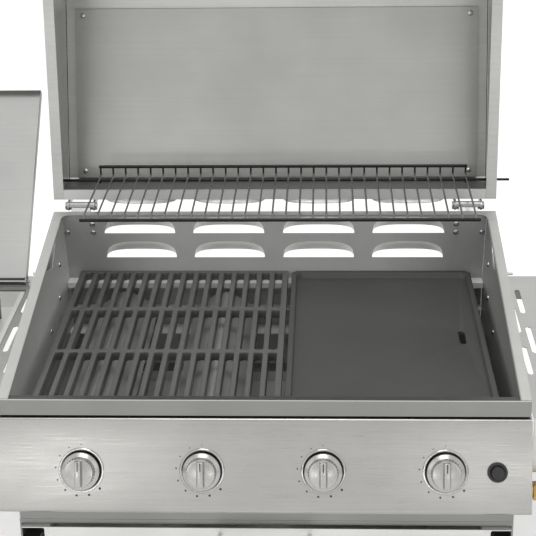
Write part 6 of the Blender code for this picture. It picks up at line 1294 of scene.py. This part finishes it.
class GrillColours(bpy.types.PropertyGroup):
    """Colours of the finishes."""
    sheet: colour_of("Sheet", "Ground stainless steel of the lid and the tables", "#B9B9B6")
    panel: colour_of("Control panel", "Ground stainless steel of the control panel", "#A2A19E")
    lid_end: colour_of("Lid ends", "Pressed end walls of the lid", "#AFAFAC")
    lid_wall: colour_of("Lid wall", "Rear wall inside the lid", "#B0B0AE")
    # Darker than the lid's sheet: painted shade for the liner's downward-facing face
    liner: colour_of("Liner", "Sheet under the lid's top", "#A3A3A0")
    side_lid: colour_of("Side lid", "Lid over the side burner", "#989896")
    pan: colour_of("Pan", "Pan under the side burner", "#DADAD7")
    # Darker than the rim, which is the same steel: painted shade for the front-facing and lower faces
    rail: colour_of("Front rail", "Front wall, base and brackets", "#858583")
    rim: colour_of("Rim", "Flanges on top of the firebox", "#C2C2BF")
    wall: colour_of("Side walls", "Heat-dulled insides of the side walls", "#C8C8C6")
    rear: colour_of("Rear wall", "Heat-dulled inside of the rear wall", "#CCCCCA")
    tray: colour_of("Tray", "Grease tray", "#E4E4E1")
    tamer: colour_of("Flame tamers", "Bent sheets over the burners", "#C0C0BC")
    grate: colour_of("Grate", "Cast grate and burner head", "#525251")
    griddle: colour_of("Griddle", "Enamelled griddle plate", "#444443")
    wire: colour_of("Rack wire", "Level part of the rack's wires", "#686867")
    chrome: colour_of("Chrome", "Bezels, handle posts, screws and the thermometer", "#B4B4B3")
    hinge: colour_of("Hinges", "Hinge knuckles and lugs", "#979795")
    knob: colour_of("Knobs", "Metal of the knobs", "#A9A8A5")


# Operators, one for each group of pieces

class MakeFinishes(bpy.types.Operator):
    """Make the finishes from the colours"""
    bl_idname = "grill.finishes"
    bl_label = "Finishes"

    def execute(self, context):
        make_finishes(context.scene.grill_colours)
        return {"FINISHED"}


class MakePlates(bpy.types.Operator):
    """Make the cast grate and the griddle plate"""
    bl_idname = "grill.plates"
    bl_label = "Grate and griddle"

    def execute(self, context):
        make_grate(context.scene.grill_sizes)
        dress("plates")
        return {"FINISHED"}


class MakeFirebox(bpy.types.Operator):
    """Make the firebox walls, the base, the control panel and the louvred rear panels"""
    bl_idname = "grill.firebox"
    bl_label = "Firebox"

    def execute(self, context):
        make_rear_panels(context.scene.grill_sizes)
        dress("firebox")
        return {"FINISHED"}


class MakeBurners(bpy.types.Operator):
    """Make the tube burners and the flame tamers"""
    bl_idname = "grill.burners"
    bl_label = "Burners"

    def execute(self, context):
        dress("burners")
        return {"FINISHED"}


class MakeGasTrain(bpy.types.Operator):
    """Make the gas manifold and the valve stems"""
    bl_idname = "grill.gas_train"
    bl_label = "Gas train"

    def execute(self, context):
        dress("gas")
        return {"FINISHED"}


class MakeKnobs(bpy.types.Operator):
    """Make the knobs, their bezels and the igniter"""
    bl_idname = "grill.knobs"
    bl_label = "Knobs and igniter"

    def execute(self, context):
        make_knobs()
        make_igniter()
        return {"FINISHED"}


class MakeLid(bpy.types.Operator):
    """Make the lid's sheets, its handle and its thermometer"""
    bl_idname = "grill.lid"
    bl_label = "Lid"

    def execute(self, context):
        dress("lid")
        make_handle()
        make_gauge()
        return {"FINISHED"}


class MakeHinges(bpy.types.Operator):
    """Make the lid hinges and the screws"""
    bl_idname = "grill.hinges"
    bl_label = "Hinges and screws"

    def execute(self, context):
        dress("hinges")
        make_screws()
        return {"FINISHED"}


class MakeRack(bpy.types.Operator):
    """Make the warming rack and its rod"""
    bl_idname = "grill.rack"
    bl_label = "Warming rack"

    def execute(self, context):
        make_rack(context.scene.grill_sizes)
        return {"FINISHED"}


class MakeTables(bpy.types.Operator):
    """Make the side tables and their brackets"""
    bl_idname = "grill.tables"
    bl_label = "Side tables"

    def execute(self, context):
        dress("tables")
        return {"FINISHED"}


class MakeSideBurner(bpy.types.Operator):
    """Make the side burner with its pan, support and lid"""
    bl_idname = "grill.side_burner"
    bl_label = "Side burner"

    def execute(self, context):
        dress("side_burner")
        return {"FINISHED"}


class MakeTrayAndFeet(bpy.types.Operator):
    """Make the grease tray, its cup and the feet"""
    bl_idname = "grill.tray_and_feet"
    bl_label = "Tray and feet"

    def execute(self, context):
        dress("tray")
        make_feet()
        return {"FINISHED"}


class MakeStage(bpy.types.Operator):
    """Make the floor, the lamps and the camera"""
    bl_idname = "grill.stage"
    bl_label = "Stage"

    def execute(self, context):
        make_stage()
        return {"FINISHED"}


MAKERS = (MakeFinishes, MakePlates, MakeFirebox, MakeBurners, MakeGasTrain, MakeKnobs, MakeLid, MakeHinges,
          MakeRack, MakeTables, MakeSideBurner, MakeTrayAndFeet, MakeStage)


class GrillPanel(bpy.types.Panel):
    """Sizes, colours and makers of the gas grill"""
    bl_idname = "VIEW3D_PT_gas_grill"
    bl_label = "Gas grill"
    bl_space_type = "VIEW_3D"
    bl_region_type = "UI"
    bl_category = "Gas grill"

    def draw(self, context):
        for group in (context.scene.grill_sizes, context.scene.grill_colours):
            column = self.layout.column()
            for name in group.__annotations__:
                column.prop(group, name)
        column = self.layout.column()
        for maker in MAKERS:
            column.operator(maker.bl_idname)


CLASSES = (GrillSizes, GrillColours, *MAKERS, GrillPanel)


def register():
    """Registers the classes and hangs the sizes and colours on the scene."""
    for kind in CLASSES:
        bpy.utils.register_class(kind)
    bpy.types.Scene.grill_sizes = PointerProperty(type=GrillSizes)
    bpy.types.Scene.grill_colours = PointerProperty(type=GrillColours)


def unregister():
    """Takes the sizes, the colours and the classes away again."""
    del bpy.types.Scene.grill_colours
    del bpy.types.Scene.grill_sizes
    for kind in reversed(CLASSES):
        bpy.utils.unregister_class(kind)


def main():
    """Makes the whole grill."""
    register()
    bpy.ops.grill.finishes()
    bpy.ops.grill.plates()
    bpy.ops.grill.firebox()
    bpy.ops.grill.burners()
    bpy.ops.grill.gas_train()
    bpy.ops.grill.knobs()
    bpy.ops.grill.lid()
    bpy.ops.grill.hinges()
    bpy.ops.grill.rack()
    bpy.ops.grill.tables()
    bpy.ops.grill.side_burner()
    bpy.ops.grill.tray_and_feet()
    bpy.ops.grill.stage()


if __name__ == "__main__":
    main()
